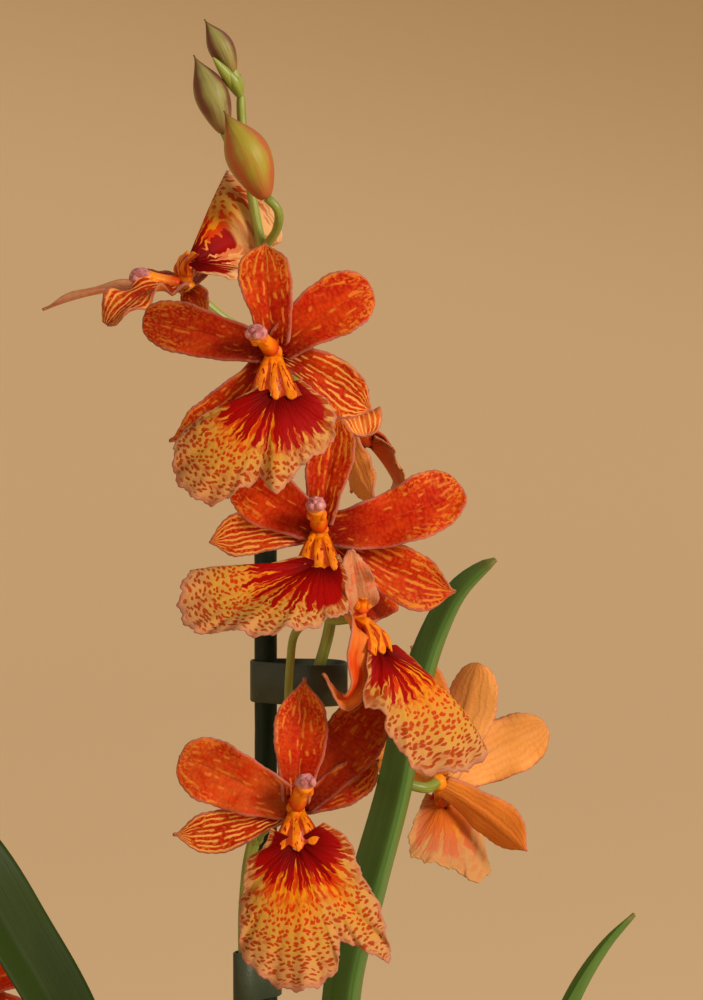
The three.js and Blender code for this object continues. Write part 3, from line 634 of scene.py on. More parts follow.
def leaf_material():
    """Strap leaf: smooth, with faint parallel veins, darker along the keel, paler underneath.
    mark's third value is how much painted shade darkens a leaf lying in shadow."""
    m = Shader("leaf_green")
    along, across_share, face = m.attribute("grow")
    far, wide, seed = m.attribute("span")
    _, _, painted_shade = m.attribute("mark")
    lanes = m.flecks(far, 0.005, wide, 1.9, seed, 2.0, 0.6)
    broad = m.flecks(far, 0.03, wide, 0.1, seed)
    upper = m.fade(0.35, 0.7, broad, srgb(84, 118, 38), srgb(62, 98, 26))
    under = m.fade(0.35, 0.7, broad, srgb(88, 124, 56), srgb(72, 108, 42))
    skin = m.fade(0.4, 0.75, lanes, m.mix(face, under, upper), srgb(58, 84, 26), 0.3)
    keel = m.less(0.0, 0.05, m.absolute(across_share))
    skin = m.tint(keel, 0.35, skin, srgb(52, 76, 24))
    skin = m.fade(0.975, 1.0, along, skin, srgb(120, 100, 50), 0.6)
    # Painted shade: a leaf that lies in shadow is darkened towards near black.
    skin = m.mix(painted_shade, skin, srgb(12, 20, 3))
    return m.finish(skin, m.add(0.42, m.times(lanes, 0.12)), lanes, 0.12, Specular_IOR_Level=0.2)


def bud_material(name, seam, keel, base):
    """Closed bud: three sepals, each greener along its middle, with faint veins."""
    m = Shader(name)
    along, around, _ = m.attribute("grow")
    far, _, seed = m.attribute("span")
    lanes = m.flecks(around, 30.0, far, 0.12, seed)
    cloud = m.flecks(around, 4.0, far, 0.25, seed)
    middle = m.absolute(m.math("COSINE", m.times(around, 3 * math.pi)))
    skin = m.fade(0.15, 0.95, m.add(middle, m.swing(cloud, 0.9)), seam, keel)
    skin = m.fade(0.5, 0.7, lanes, skin, seam, 0.4)
    skin = m.mix(m.less(0.0, 0.35, along), skin, base)
    skin = m.fade(0.75, 1.0, along, skin, srgb(96, 54, 36), 0.75)
    return m.finish(skin, 0.5, lanes, 0.2, Specular_IOR_Level=0.3)


def clay_material():
    """Fired clay, darker towards the bottom, with a pale bloom of salts."""
    m = Shader("fired_clay")
    place = m.place()
    grain = m.noise(place, 900.0, 4.0, 0.7)
    cloud = m.noise(place, 22.0, 4.0, 0.6)
    _, _, tall = m.split(place)
    skin = m.fade(0.3, 0.7, cloud, srgb(190, 104, 66), srgb(166, 84, 52))
    skin = m.fade(0.55, 0.75, cloud, skin, srgb(214, 178, 150), 0.4)
    # Darker towards the bottom of the pot.
    skin = m.tint(m.less(0.0, 0.05, tall), 0.5, skin, srgb(120, 62, 40))
    skin = m.fade(0.62, 0.8, grain, skin, srgb(128, 66, 42), 0.5)
    return m.finish(skin, m.add(0.75, m.times(grain, 0.2)), m.add(grain, m.times(cloud, 0.6)), 0.35)


def bark_material():
    m = Shader("bark_brown")
    _, _, seed = m.attribute("span")
    grain = m.noise(m.place(), 420.0, 5.0, 0.7)
    bed = m.fade(0.3, 0.7, grain, srgb(112, 72, 44), srgb(58, 36, 22))
    chip = m.mix(grain, srgb(84, 50, 30), srgb(130, 88, 56))
    return m.finish(m.mix(m.math("FRACT", m.times(seed, 3.7)), bed, chip), 0.9, grain, 1.2)


def stake_material():
    m = Shader("stake_green")
    place = m.place()
    grain = m.noise(place, 700.0, 3.0)
    cloud = m.noise(place, 60.0, 3.0)
    skin = m.fade(0.3, 0.7, cloud, srgb(4, 26, 16), srgb(8, 36, 24))
    skin = m.fade(0.66, 0.8, grain, skin, srgb(40, 60, 44), 0.5)
    return m.finish(skin, m.add(0.45, m.times(grain, 0.15)), grain, 0.12, Specular_IOR_Level=0.25)


def tie_material():
    m = Shader("tie_dark")
    place = m.place()
    grain = m.noise(place, 1400.0, 3.0)
    skin = m.fade(0.3, 0.7, m.noise(place, 120.0, 2.0), srgb(38, 52, 38), srgb(52, 64, 46))
    return m.finish(skin, m.add(0.42, m.times(grain, 0.2)), grain, 0.15)


# Blooms: tips from the bloom's centre, lip edge from the lip's centre.
# bow, sweep and hook bend a petal, wave is the swing of its edge; stripes, pale and painted shade are its
# marks.

SHAPES = {
    "upper": {
        "looks": (-10, 4), "cap": (-4.3, -8.5, 4.8),
        "tepals": {
            "top_sepal": dict(tip=(-3, 3, 27.5), width=15.5, widest=1.7, blunt=0.42, hook=3, lean=-0.25,
                              stripes=0.45),
            "right_petal": dict(tip=(25, 0, 15.5), width=17.5, bow=2.5, sweep=-1.5, widest=1.6,
                                blunt=0.45),
            "left_petal": dict(tip=(-33.5, 3, 8.5), width=14.5, bow=3, widest=1.6, blunt=0.42,
                               painted_shade=0.45),
            "right_sepal": dict(tip=(25, 4, -15.5), width=14.5, sweep=-1, widest=1.5, blunt=0.7, lean=0.3,
                                forward=-3, stripes=0.9),
            "left_sepal": dict(tip=(-27, 4, -23), width=14, sweep=-4, widest=1.2, forward=-3),
        },
        "lip": {
            "centre": (1, -7, -9), "bulge": 0.1,
            "edge": [(-5, 0, 1), (-8.5, 0, -1.5), (-18.5, 0, -6.5), (-25.5, -1, -13), (-25.5, -5, -23),
                     (-17, -9, -28.5), (-8.5, -9, -24.5), (-4, -8, -22), (-0.5, -10, -26), (5, -8, -20),
                     (13.5, -2, -13.5), (14, 0, -5.5), (10.5, 0, -1.5), (5.5, 0, 2.5)],
        },
    },
    "middle": {
        "looks": (-12, 10), "cap": (-1, -8, 6.5),
        "tepals": {
            "top_sepal": dict(tip=(5, 8, 29), width=14, widest=1.4),
            "right_petal": dict(tip=(36.5, 4, 10.5), width=18, sweep=2.5, widest=1.7, blunt=0.42,
                                lean=-0.25, wave=1.2),
            "left_petal": dict(tip=(-22, 4, 13), width=17, widest=1.4, blunt=0.5),
            "right_sepal": dict(tip=(35, 9, -17), width=16.5, painted_shade=0.12, bow=1, sweep=2, widest=1.6,
                                blunt=0.6, lean=0.3, forward=-3, wave=0.9),
            "left_sepal": dict(tip=(-28.5, 2, -3.5), width=12.5, sweep=1, widest=1.5, blunt=0.45,
                               forward=-3, stripes=0.9),
        },
        "lip": {
            "centre": (0.5, -8, -8), "bulge": 0.06, "blotch": 1.3, "down": (-0.1, 0, -1),
            "edge": [(4.5, -1, 2.5), (6.5, -4, -3), (6.5, -9, -9), (4.5, -14, -12), (-4, -20, -14),
                     (-15, -22, -15.5), (-24, -19, -15), (-33, -15, -15.5), (-36, -10, -8.5),
                     (-34, -6, -2), (-28, -4, -0.5), (-17, -2, -0.5), (-5.5, 0, 2)],
        },
    },
    "turned_right": {
        "looks": (60, 10), "cap": (1, -2.5, 6),
        "tepals": {
            "left_petal": dict(tip=(-2, -12, 18.5), width=11.5, bow=1, widest=0.9, blunt=0.8,
                               looks=(12, 0), pale=1.9, lean=-0.3, wave=1.2),
            "right_petal": dict(tip=(8.5, 34, 8), width=15, widest=1.4),
            "top_sepal": dict(tip=(1.5, 30, 14), width=14, widest=1.2, forward=-3),
            "left_sepal": dict(tip=(-9.2, -10, -13.5), width=8.5, widest=0.75, blunt=0.7, forward=-3,
                               pale=1, stripes=0, looks=(40, 10),
                               via=[(0, -10, -3.5), (-0.5, -11.5, -9), (-0.2, -11.5, -16.6),
                                    (-3.7, -11, -20.9)]),
            "right_sepal": dict(tip=(3, 26, -25.5), width=12, widest=1.2, forward=-3),
        },
        "lip": {
            "centre": (4.5, -6, -7), "bulge": 0.12,
            "edge": [(-2, -4, 1.5), (-3, -9, -9), (-2.5, -11, -14), (0.5, -12, -15.5), (2, -12, -19),
                     (6, -12, -24.5), (7, -12, -28.5), (14, -10, -31.5), (22.5, -6, -31.5), (28, 0, -28),
                     (25.5, 8, -25), (20, 16, -18), (15.5, 24, -15.5), (10, 26, -9.5), (5, 14, -2)],
        },
    },
    "turned_away": {
        "looks": (140, 10), "cap": (3.5, 8.5, 1),
        "tepals": {
            "left_petal": dict(tip=(3.5, -12, -2.5), width=12.5, bow=4.5, widest=1.6, blunt=0.45,
                               looks=(10, 60), pale=0.9, stripes=1.0, wave=1.2),
            "left_sepal": dict(tip=(6.5, -8, -19.5), width=11.5, sweep=-4, widest=1.0, blunt=0.7,
                               forward=-3, pale=1, stripes=0),
            "top_sepal": dict(tip=(-7, 14, 15), width=14, widest=1.2),
            "right_petal": dict(tip=(3, 28, 4), width=12, widest=1.2),
            "right_sepal": dict(tip=(0, 24, -20), width=12, widest=1.2, forward=-3),
        },
        "lip": {
            "centre": (5, 5, -5), "bulge": 0.1, "looks": (50, 10),
            "edge": [(1, -4, 2), (6, -6, -1.5), (8, -5, -6), (9.5, -2, -13.5), (9.5, 4, -20),
                     (9, 12, -22), (8, 18, -18.5), (6.5, 19, -12), (4.5, 14, -4), (1, 6, 2)],
        },
    },
    "lower": {
        "looks": (0, 0), "cap": (2.6, -8, 7.5),
        "tepals": {
            "top_sepal": dict(tip=(2.3, 6, 33), width=15.5, widest=1.2, blunt=0.8, stripes=0.3),
            "right_petal": dict(tip=(22.8, 8, 27.5), width=17.5, forward=-1.5, painted_shade=0.6),
            "left_petal": dict(tip=(-29.7, 2, 13.5), width=18.5, widest=1.6, blunt=0.42, forward=-1.5,
                               wave=1.0, pale=0.3),
            "right_sepal": dict(tip=(21.3, 6, 11.5), width=12, sweep=1, forward=-3, painted_shade=0.4),
            "left_sepal": dict(tip=(-31.7, 4, -7.5), width=12.5, sweep=-1.5, widest=1.5, blunt=0.85,
                               forward=-3, stripes=1.0),
        },
        "lip": {
            "centre": (0.3, -7, -7), "bulge": 0.08, "blotch": 0.82,
            "edge": [(-6.5, 0, 3), (-8.5, 0, -2), (-12.5, -1, -5.5), (-13.5, -3, -11.5),
                     (-14.5, -7, -20.5), (-13, -11, -29), (-5, -14, -35), (3, -15, -36),
                     (10.5, -13, -31), (11.5, -11, -24.5), (19.5, -9, -28), (24, -7, -29.5),
                     (21, -5, -16), (16, -1, -7.5), (13.5, 0, 0), (7, 0, 4.5)],
        },
    },
    "behind": {
        "looks": (150, 5), "cap": (4.5, 8.5, 3),
        "tepals": {
            "top_sepal": dict(tip=(-7.5, 6, 36.5), width=15, pale=0.6),
            "left_petal": dict(tip=(11, 8, 31.5), width=17.5, widest=1.5, blunt=0.5, forward=1),
            "right_petal": dict(tip=(29.5, 6, 14.5), width=18, widest=1.5, blunt=0.5, wave=1.0),
            "left_sepal": dict(tip=(24, 2, -19.5), width=14.5, widest=1.5, forward=-1, pale=0.5),
            "right_sepal": dict(tip=(-19.5, 4, 7.5), width=13, widest=1.4, forward=-1, pale=0.9),
        },
        "lip": {
            "centre": (1, 7, -7), "bulge": 0.1,
            "edge": [(-4.5, 2, 2.5), (-8.5, -2, -7), (-8.5, -6, -13.5), (0.5, -4, -17), (10.5, 0, -21.5),
                     (13, 6, -17), (8.5, 10, -5), (3.5, 6, 0.5)],
        },
    },
    "turned_up": {
        "looks": (-75, 40), "cap": (-11, -3.5, 2.5),
        "tepals": {
            "top_sepal": dict(tip=(-37.5, 7, -6.5), width=9, bow=3, widest=1.2, looks=(-60, 70),
                              forward=-2, pale=2.0),
            "left_petal": dict(tip=(-19, -17, -9.5), width=14, bow=4, widest=1.7, blunt=0.4,
                               looks=(-30, 50), stripes=0.9, wave=2.4, painted_shade=0.15),
            "right_petal": dict(tip=(-20, 23, -4.5), width=13, bow=3, widest=1.5, looks=(-60, 60)),
            "left_sepal": dict(tip=(6.5, -15, -8), width=9, bow=1.5, widest=0.9, blunt=1.0,
                               looks=(-20, 30), forward=-2, painted_shade=0.3),
            "right_sepal": dict(tip=(9, 25, 5.5), width=11, bow=1, looks=(-60, 60), forward=-2),
        },
        "lip": {
            "centre": (1, -2, 6), "bulge": 0.0, "blotch": 0.85, "pale": 0.95,
            "edge": [(3, -2, -2.5), (6.5, -3, -3), (13, 0, -3), (19.5, 12, -1), (23.5, 12.5, 5),
                     (23.5, 12, 11), (20.5, 12, 15.5), (16.5, 12, 19), (12, 14, 22), (9.5, 19, 24.5),
                     (10, 24, 21), (12, 28, 15), (8.5, 26, 9), (4, 18, 3), (1, 8, 0)],
        },
    },
}

BLOOMS = {
    "bloom_1": dict(shape="upper", centre=(-6, -36, 471), stalk=[(-1, -14, 462), (-1, 0, 457)]),
    "bloom_2": dict(shape="middle", centre=(5.5, -30, 425), stalk=[(11, -12, 420), (8, 2, 414)]),
    "bloom_3": dict(shape="turned_right", centre=(15.5, -28, 402.5), stalk=[(5.5, -15, 402),
                    (-1, -12, 396.5), (-2.5, -12, 388), (-3, -11, 374.5), (-2.5, -6, 362)]),
    "bloom_4": dict(shape="turned_away", centre=(13.5, 6, 449.5), stalk=[(6, 3, 440), (6, 1.5, 430)]),
    "bloom_5": dict(shape="lower", centre=(-0.8, -34, 353.5), stalk=[(-4, -20, 350), (-12, -8, 341)]),
    "bloom_6": dict(shape="behind", centre=(37.5, 34, 350), pale=1.25,
                    stalk=[(24, 24, 352), (14, 10, 354), (4, -2, 352), (-7.5, -7, 350)]),
    "bloom_7": dict(shape="turned_up", centre=(-30, -5, 486.5),
                    stalk=[(-20, -2, 478), (-10, 0, 472), (-2, 0, 464)]),
    "bloom_8": dict(shape="upper", centre=(-90, 32, 292), turn=-20, stalk=[(-82, 46, 276),
                    (-72, 50, 262)]),
    "bloom_9": dict(shape="lower", centre=(-134, 30, 316), turn=-55,
                    stalk=[(-114, 44, 312), (-104, 52, 305)]),
}

SPIKES = {
    "flower_spike_1": dict(
        stem=[(-12, -10, 84), (-14, -8, 150), (-16, -3, 230), (-14.7, -2, 298), (-14.5, -4, 324),
              (-12, -8, 341), (-2.5, -6, 362), (4, 0, 382.5), (8, 0, 398), (8, 2, 414), (2.5, 0, 443),
              (-4, 0, 469.5), (-10, 0, 497), (-12.5, 0, 510), (-15, 0, 528), (-15.5, 0, 541.5)],
        blooms=["bloom_1", "bloom_2", "bloom_3", "bloom_4", "bloom_5", "bloom_6", "bloom_7"],
        bud_stalks=[[(-15.3, 0, 538), (-17, 0, 541.5), (-18.3, 0, 544.3)],
                    [(-13.5, 0, 517), (-17.5, -2, 522), (-19.5, -3, 526.3)],
                    [(-9.5, 0, 496), (-5.8, -6, 501.5), (-5.6, -10, 506.5), (-8.4, -10, 509.6)]],
        tip_buds=[(-22.4, -5, 545.8), (-18.8, -4, 542.5)]),
    "flower_spike_2": dict(
        stem=[(-20, 24, 84), (-24, 28, 140), (-42, 38, 205), (-72, 50, 262), (-104, 52, 305),
              (-130, 52, 331), (-146, 50, 340)],
        blooms=["bloom_8", "bloom_9"],
        bud_stalks=[[(-138, 51, 335.5), (-141, 50, 343), (-143, 49, 347)]],
        tip_buds=[(-148, 49.5, 343)]),
}

BUDS = {
    "bud_1": dict(root=(-17.6, 0, 542.2), tip=(-24.8, 0, 555.8), width=6.8, tone="dusky"),
    "bud_2": dict(root=(-19.8, -3, 526.9), tip=(-27.5, -3, 546.5), width=9, tone="dusky"),
    "bud_3": dict(root=(-9, -10, 510), tip=(-19.5, -10, 532), width=11.8, tone="orange"),
    "bud_4": dict(root=(-143.3, 48.9, 347.6), tip=(-146, 47, 365), width=8, tone="dusky"),
}

BULBS = {
    "bulb_1": dict(foot=(-29, 8, 92), top=(-30, 6, 158), width=32, depth=20, faces=(0.1, -1, 0)),
    "bulb_2": dict(foot=(14, 15, 92), top=(13, 14, 168), width=35, depth=21, faces=(-0.15, -1, 0)),
    "bulb_3": dict(foot=(22, -20, 92), top=(24, -22, 145), width=30, depth=17, faces=(0.3, -1, 0)),
}

# Leaves: middle line, width, the way the upper face looks, fold at root and tip in degrees, and painted
# shade
LEAVES = {
    "leaf_1": dict(width=23, faces=(-0.25, 1, 0.1), folds=(66, 60),
                   line=[(13, 10.5, 168.5), (13, 4, 230), (13.5, 1, 297), (20, 4, 323), (27, 8, 349),
                         (32, 10, 375.5), (37, 12, 392), (43, 12, 404), (52, 12, 413)]),
    # leaf_2 is darkened by painted shade, as if it lay in shadow.
    "leaf_2": dict(width=24, faces=(0, -0.6, 1), folds=(50, 12), painted_shade=0.8,
                   line=[(-30, 3, 159.4), (-36, -12, 190), (-46, -38, 245), (-60, -60, 301),
                         (-72, -67, 326), (-85, -73, 350), (-106, -80, 374), (-138, -88, 382)]),
    "leaf_3": dict(width=15, faces=(-1, 0.1, 0.5), folds=(55, 30),
                   line=[(25, -19, 145.5), (38, -22, 200), (58, -24, 258), (72, -24, 300),
                         (80, -24, 315), (87, -24, 324)]),
    "leaf_4": dict(width=26, faces=(0, 0.3, 1), folds=(50, 10),
                   line=[(-31, 9.5, 158.5), (-46, 20, 186), (-76, 44, 222), (-116, 70, 240),
                         (-160, 92, 232), (-198, 108, 198)]),
    "leaf_5": dict(width=25, faces=(0.3, 0, 1),
                   line=[(-49.5, 6, 93), (-51.5, 5, 120), (-62, 2, 156), (-94, -4, 212),
                         (-135, -12, 240), (-180, -18, 236), (-218, -22, 205)]),
    "leaf_6": dict(width=25, faces=(0, 0.4, 1),
                   line=[(-34, -7, 93), (-37, -30, 140), (-44, -70, 195), (-55, -115, 216),
                         (-66, -160, 205), (-74, -195, 172)]),
    "leaf_7": dict(width=27, faces=(0, -0.3, 1), folds=(52, 10),
                   line=[(13.5, 18.5, 168.5), (22, 40, 205), (38, 76, 238), (60, 120, 250),
                         (84, 165, 238), (104, 202, 202)]),
    "leaf_8": dict(width=25, faces=(0, -0.4, 1),
                   line=[(12, 31, 93), (9, 50, 145), (0, 88, 205), (-14, 130, 236), (-30, 172, 232),
                         (-42, 206, 200)]),
    "leaf_9": dict(width=23, faces=(-0.2, 0.3, 1), folds=(52, 10),
                   line=[(24, -26, 145.5), (36, -50, 190), (58, -84, 232), (88, -122, 246),
                         (120, -158, 228), (144, -184, 192)]),
    "leaf_10": dict(width=24, faces=(-0.3, 0, 1),
                    line=[(42, -22, 93), (54, -20, 140), (84, -14, 195), (128, -8, 222), (174, -2, 212),
                          (210, 2, 180)]),
    "leaf_11": dict(width=25, faces=(-0.3, 0, 1),
                    line=[(36.5, 20, 93), (50, 30, 145), (82, 50, 205), (124, 72, 238), (168, 92, 232),
                          (202, 108, 200)]),
    "leaf_12": dict(width=21, faces=(0, 0.4, 1),
                    line=[(12, -34, 93), (11, -42, 128), (6, -82, 172), (-2, -122, 188),
                          (-12, -158, 178), (-18, -186, 150)]),
}

TIES = {
    "stake_tie_1": dict(low=376, height=11, loop=((5.2, 0.6), 6.2)),
    "stake_tie_2": dict(low=297, height=13, loop=((-14.6, -2.6), 2.1)),
}

PETAL = petal_material()
LIP = lip_material()
CALLUS = callus_material()
CAP = cap_material()
COLUMN = column_material()
LEAF = leaf_material()
STEM = green_material("stem_green", srgb(150, 160, 66), srgb(104, 122, 42), 160.0, 0.36)
BULB = green_material("bulb_green", srgb(140, 152, 74), srgb(92, 112, 44), 60.0, 0.4)
BUD_TONES = {
    "dusky": bud_material("bud_dusky", srgb(108, 62, 50), srgb(142, 138, 78), srgb(140, 112, 62)),
    "orange": bud_material("bud_orange", srgb(172, 92, 48), srgb(158, 144, 46), srgb(168, 90, 44)),
}
CLAY = clay_material()
BARK = bark_material()
STAKE = stake_material()
TIE = tie_material()


def width_at(s, widest, blunt, point):
    """Half width of a petal, from 0 at its root to 1, then to its tip, drawn out to a point."""
    bell = np.sin(np.pi * np.clip(s, 1e-6, 1 - 1e-6) ** widest) ** (blunt + point * smooth(0.7, 1, s))
    return bell * (1 - CLAW * (1 - s)) + CLAW * (1 - s) ** 2


def add_petal(form, root, tip, look, seed, width, bow=2, sweep=0, hook=0, widest=1.3, blunt=0.6, wave=0.5,
              curl=0, lean=0, point=0, via=None):
    """A petal from its root to its tip, or through via: bow arches it towards the way it looks, sweep
    bends it sideways, lean puts the widest place of one side nearer the tip than the other's."""
    reach = tip - root
    length = np.linalg.norm(reach)
    out = across(reach / length, look)
    side = np.cross(reach / length, out)
    s = np.linspace(0, 1, PETAL_STEPS + 1) ** 0.9
    q = np.linspace(-1, 1, 2 * PETAL_HALVES + 1)
    along = s[:, None]
    arch = 4 * s * (1 - s)
    if via:
        middle = curve_points([root, *via, tip], len(s))
    else:
        middle = root + along * reach + np.outer(bow * arch - hook * s**3, out)
        middle += np.outer(sweep * arch, side)

    def half_width(share):
        return np.maximum(PETAL_LEAST_HALF, width / 2 * width_at(s, widest * share, blunt, point))

    half = half_width(1)
    edges = []
    for k, share in enumerate((1 - lean, 1 + lean)):
        ripple = 1 + 0.03 * np.sin(21 * s + seed + 2 * k) * np.sin(9 * s + 2 * seed)
        edges.append(half_width(share) * ripple + 0.12 * np.sin(95 * s + seed + k) * s)
    rows = np.zeros((len(s), len(q), 3))
    for k, tangent in enumerate(tangents_of(middle)):
        face = across(tangent, out)
        swing = wave * np.abs(q) ** 3 * np.sin(15 * s[k] + seed + np.sign(q)) * arch[k] ** 0.3
        groove = -PETAL_GROOVE * np.exp(-(q * half[k] / 0.9) ** 2) * arch[k]
        lift = 0.2 * half[k] * q**2 - curl * half[k] * np.abs(q) ** 4 + swing + groove
        wide = np.where(q < 0, edges[0][k], edges[1][k]) * q
        rows[k] = middle[k] + np.outer(wide, np.cross(tangent, face)) + np.outer(lift, face)
    thickness = PETAL_THICK * (1 - 0.6 * np.abs(q) ** 6) + 0.5 * (1 - along) ** 3
    span = vectors(along * length, half[:, None] * q, seed)
    add_sheet(form, rows, thickness, vectors(along, q, 1), span, look)


def add_lip_blade(form, centre, edge, look, bulge, seed):
    """A fan from the lip's centre to its edge, arched the way it looks, frilled at its rim."""
    u = 1 - (1 - np.linspace(0, 1, LIP_RINGS + 1)) ** 1.25
    middle_ray = unit(through(edge, (len(edge) - 1) / 2))
    side_ray = unit(np.cross(look, middle_ray))
    rows, grow, span = np.zeros((3, LIP_RINGS + 1, LIP_RAYS + 1, 3))
    walked = 0
    last_ray = edge[0]
    for j in range(LIP_RAYS + 1):
        t = j / LIP_RAYS
        ray = through(edge, t * (len(edge) - 1))
        walked += np.linalg.norm(ray - last_ray)
        last_ray = ray
        length = np.linalg.norm(ray)
        way = ray / length
        ends = min(1, 8 * t, 8 * (1 - t))
        frill = (0.22 * math.sin(walked / 0.33 + 0.8 * math.sin(walked / 2.3 + seed))
                 + 0.4 * math.sin(walked / 0.85 + 2 * seed)) * ends
        swing = (1.1 * math.sin(walked / 2.1 + seed) + 0.5 * math.sin(walked / 1.0 + 3 * seed)) * ends
        far = length * (LIP_START + (1 - LIP_START) * u)
        lift = bulge * length * 4 * u * (1 - u) + swing * u**5
        rows[:, j] = centre + np.outer(far + frill * u**8, way) + np.outer(lift, across(way, look))
        grow[:, j] = vectors(u, t, 1)
        span[:, j] = vectors(far, math.atan2(ray.dot(side_ray), ray.dot(middle_ray)), seed)
    thickness = np.outer(PETAL_THICK * (1.4 - 0.9 * u**2), np.ones(LIP_RAYS + 1))
    add_sheet(form, rows, thickness, grow, span, look)


def add_crest(form, bloom_centre, centre, look, down, seed):
    """Crest at the lip's heart: a ridged fan from the column's foot down to a row of teeth."""
    side = unit(np.cross(look, down))
    start = bloom_centre + look * 1.2 + down
    knee = mix(bloom_centre, centre, 0.6) + look * 2.4
    line = curve_points([start, knee, centre + look * 1.2], CREST_STEPS + 1)
    q = np.linspace(-1, 1, 2 * CREST_HALVES + 1)
    s = np.linspace(0, 1, CREST_STEPS + 1)[:, None]
    ridge = np.cos(CREST_TEETH * math.pi * q) * 0.5 + 0.5
    tooth = 1.0 + 1.5 * ridge * (1 - 0.7 * q**2) + 0.5 * np.sin(4 * q + seed)
    wide = q * mix(CREST_TOP_HALF, CREST_FOOT_HALF, s**1.4)
    lift = 0.6 * ridge * s**0.5 - 0.8 * q**2 * (1 - 0.4 * s) + 0.25 * np.sin(9 * s + 5 * q + seed)
    drop = tooth * s**3
    rows = line[:, None] + wide[..., None] * side + lift[..., None] * look + drop[..., None] * down
    thickness = (1.4 - 0.7 * s**2) * (1 - 0.4 * np.abs(q) ** 4)
    add_sheet(form, rows, thickness, vectors(s, ridge, 1), vectors(s * 12, q * 4, seed), look)


def bloom_look(bloom, looks=None):
    """The way a bloom looks, or a part of it that has looks of its own."""
    yaw, pitch = looks or SHAPES[bloom["shape"]]["looks"]
    return look_of(yaw + bloom.get("turn", 0), pitch)


def make_tepals(name, bloom, seed):
    centre, turn, look = vec(bloom["centre"]), bloom.get("turn", 0), bloom_look(bloom)
    form = Form()
    for k, (part, facts) in enumerate(SHAPES[bloom["shape"]]["tepals"].items()):
        facts = dict(facts)
        is_sepal = "sepal" in part
        stripes = facts.pop("stripes", SEPAL_STRIPES if is_sepal else PETAL_STRIPES)
        # The third mark is painted shade, for a tepal that lies in shadow.
        form.mark = (stripes, facts.pop("pale", bloom.get("pale", 0)), facts.pop("painted_shade", 0))
        tip = centre + turned(facts.pop("tip"), turn)
        via = [centre + turned(place, turn) for place in facts.pop("via", [])]
        root = centre + look * facts.pop("forward", 0) * 0.7 + unit(tip - centre) * PETAL_START
        own_look = bloom_look(bloom, facts.pop("looks", None))
        add_petal(form, root, tip, own_look, seed + 1.7 * k, point=SEPAL_POINT if is_sepal else 0,
                  via=via, **facts)
    form.piece(name + "_petals", PETAL, "petal", [name + "_tepals"])


def make_lip(name, bloom, seed):
    centre, turn, look = vec(bloom["centre"]), bloom.get("turn", 0), bloom_look(bloom)
    lip = SHAPES[bloom["shape"]]["lip"]
    lip_centre = centre + turned(lip["centre"], turn)
    edge = [turned(point, turn) for point in lip["edge"]]
    blade = Form(mark=(lip.get("blotch", 1.0), lip.get("pale", bloom.get("pale", 0)), 0))
    add_lip_blade(blade, lip_centre, edge, bloom_look(bloom, lip.get("looks")), lip["bulge"], seed)
    blade.piece(name + "_lip_blade", LIP, "lip", [name + "_lip"])

    down = across(look, vec(lip.get("down", through(edge, (len(edge) - 1) / 2))))
    crest = Form()
    claw = curve_points([mix(centre, lip_centre, 0.2), lip_centre - look * 0.6], 8)
    add_limb(crest, claw, lambda s: mix(2.0, 1.7, s), 14, seed)
    add_crest(crest, centre, lip_centre, look, down, seed)
    crest.piece(name + "_lip_crest", CALLUS, "lip", [name + "_lip"])


def make_column(name, bloom, seed):
    """The column, with a wing on each side of its tip, and the lobed anther cap."""
    centre, look = vec(bloom["centre"]), bloom_look(bloom)
    cap = centre + turned(SHAPES[bloom["shape"]]["cap"], bloom.get("turn", 0))
    way = unit(cap - centre)
    side = unit(np.cross(way, (0, 0, 1)))
    axes = np.array((side, np.cross(side, way), way))

    def add_lump(form, at, sizes, *details):
        add_ball(form, cap + vec(at) @ axes, vec(sizes)[:, None] * axes, *details)

    column = Form()
    add_ball(column, centre - look * 0.6, axes * HUB_RADIUS, seed, 16, 24, 0.04)
    line = curve_points([centre + way * 2.2, mix(centre, cap, 0.6), cap], 12)
    add_limb(column, line, lambda s: COLUMN_RADIUS * (1.2 - 0.25 * math.sin(math.pi * s)), 16, seed,
             ridges=3, ridge_depth=0.08)
    for k in (-1, 1):
        add_lump(column, (1.6 * k, -0.6, -2.6), (1.0, 1.4, 1.6), seed, 12, 18, 0.08)
    column.piece(name + "_column_body", COLUMN, "column", [name + "_column"])
    anther = Form()
    add_lump(anther, (0, 0.4, 0.2), CAP_RADIUS * vec((1.1, 0.85, 1.15)), seed, 18, 28, 0.07)
    for k in (-1, 1):
        add_lump(anther, (1.1 * k, -0.7, 1.6), (1.2, 1.3, 1.4), seed + k, 12, 18, 0.08)
    add_lump(anther, (0, -0.2, 2.4), (0.8, 0.8, 1.0), seed, 10, 14)
    anther.piece(name + "_anther_cap", CAP, "column", [name + "_column"])


def make_bloom(name, bloom):
    seed = float(random.uniform(0, 6))
    make_tepals(name, bloom, seed)
    make_lip(name, bloom, seed)
    make_column(name, bloom, seed)


def add_bract(form, stalk, seed):
    """Small clasping bract where a stalk leaves the stem."""
    way = unit(stalk[-6] - stalk[-1])
    out = unit(way - (0, 0, way[2] * 0.5))
    foot = stalk[-1] + out - (0, 0, 1.5)
    tip = foot + (0, 0, BRACT_LENGTH) + out * BRACT_LENGTH * 0.35
    add_petal(form, foot, tip, out, seed, BRACT_WIDTH, bow=0.4, widest=0.9, blunt=0.7, wave=0.1,
              curl=-0.5)


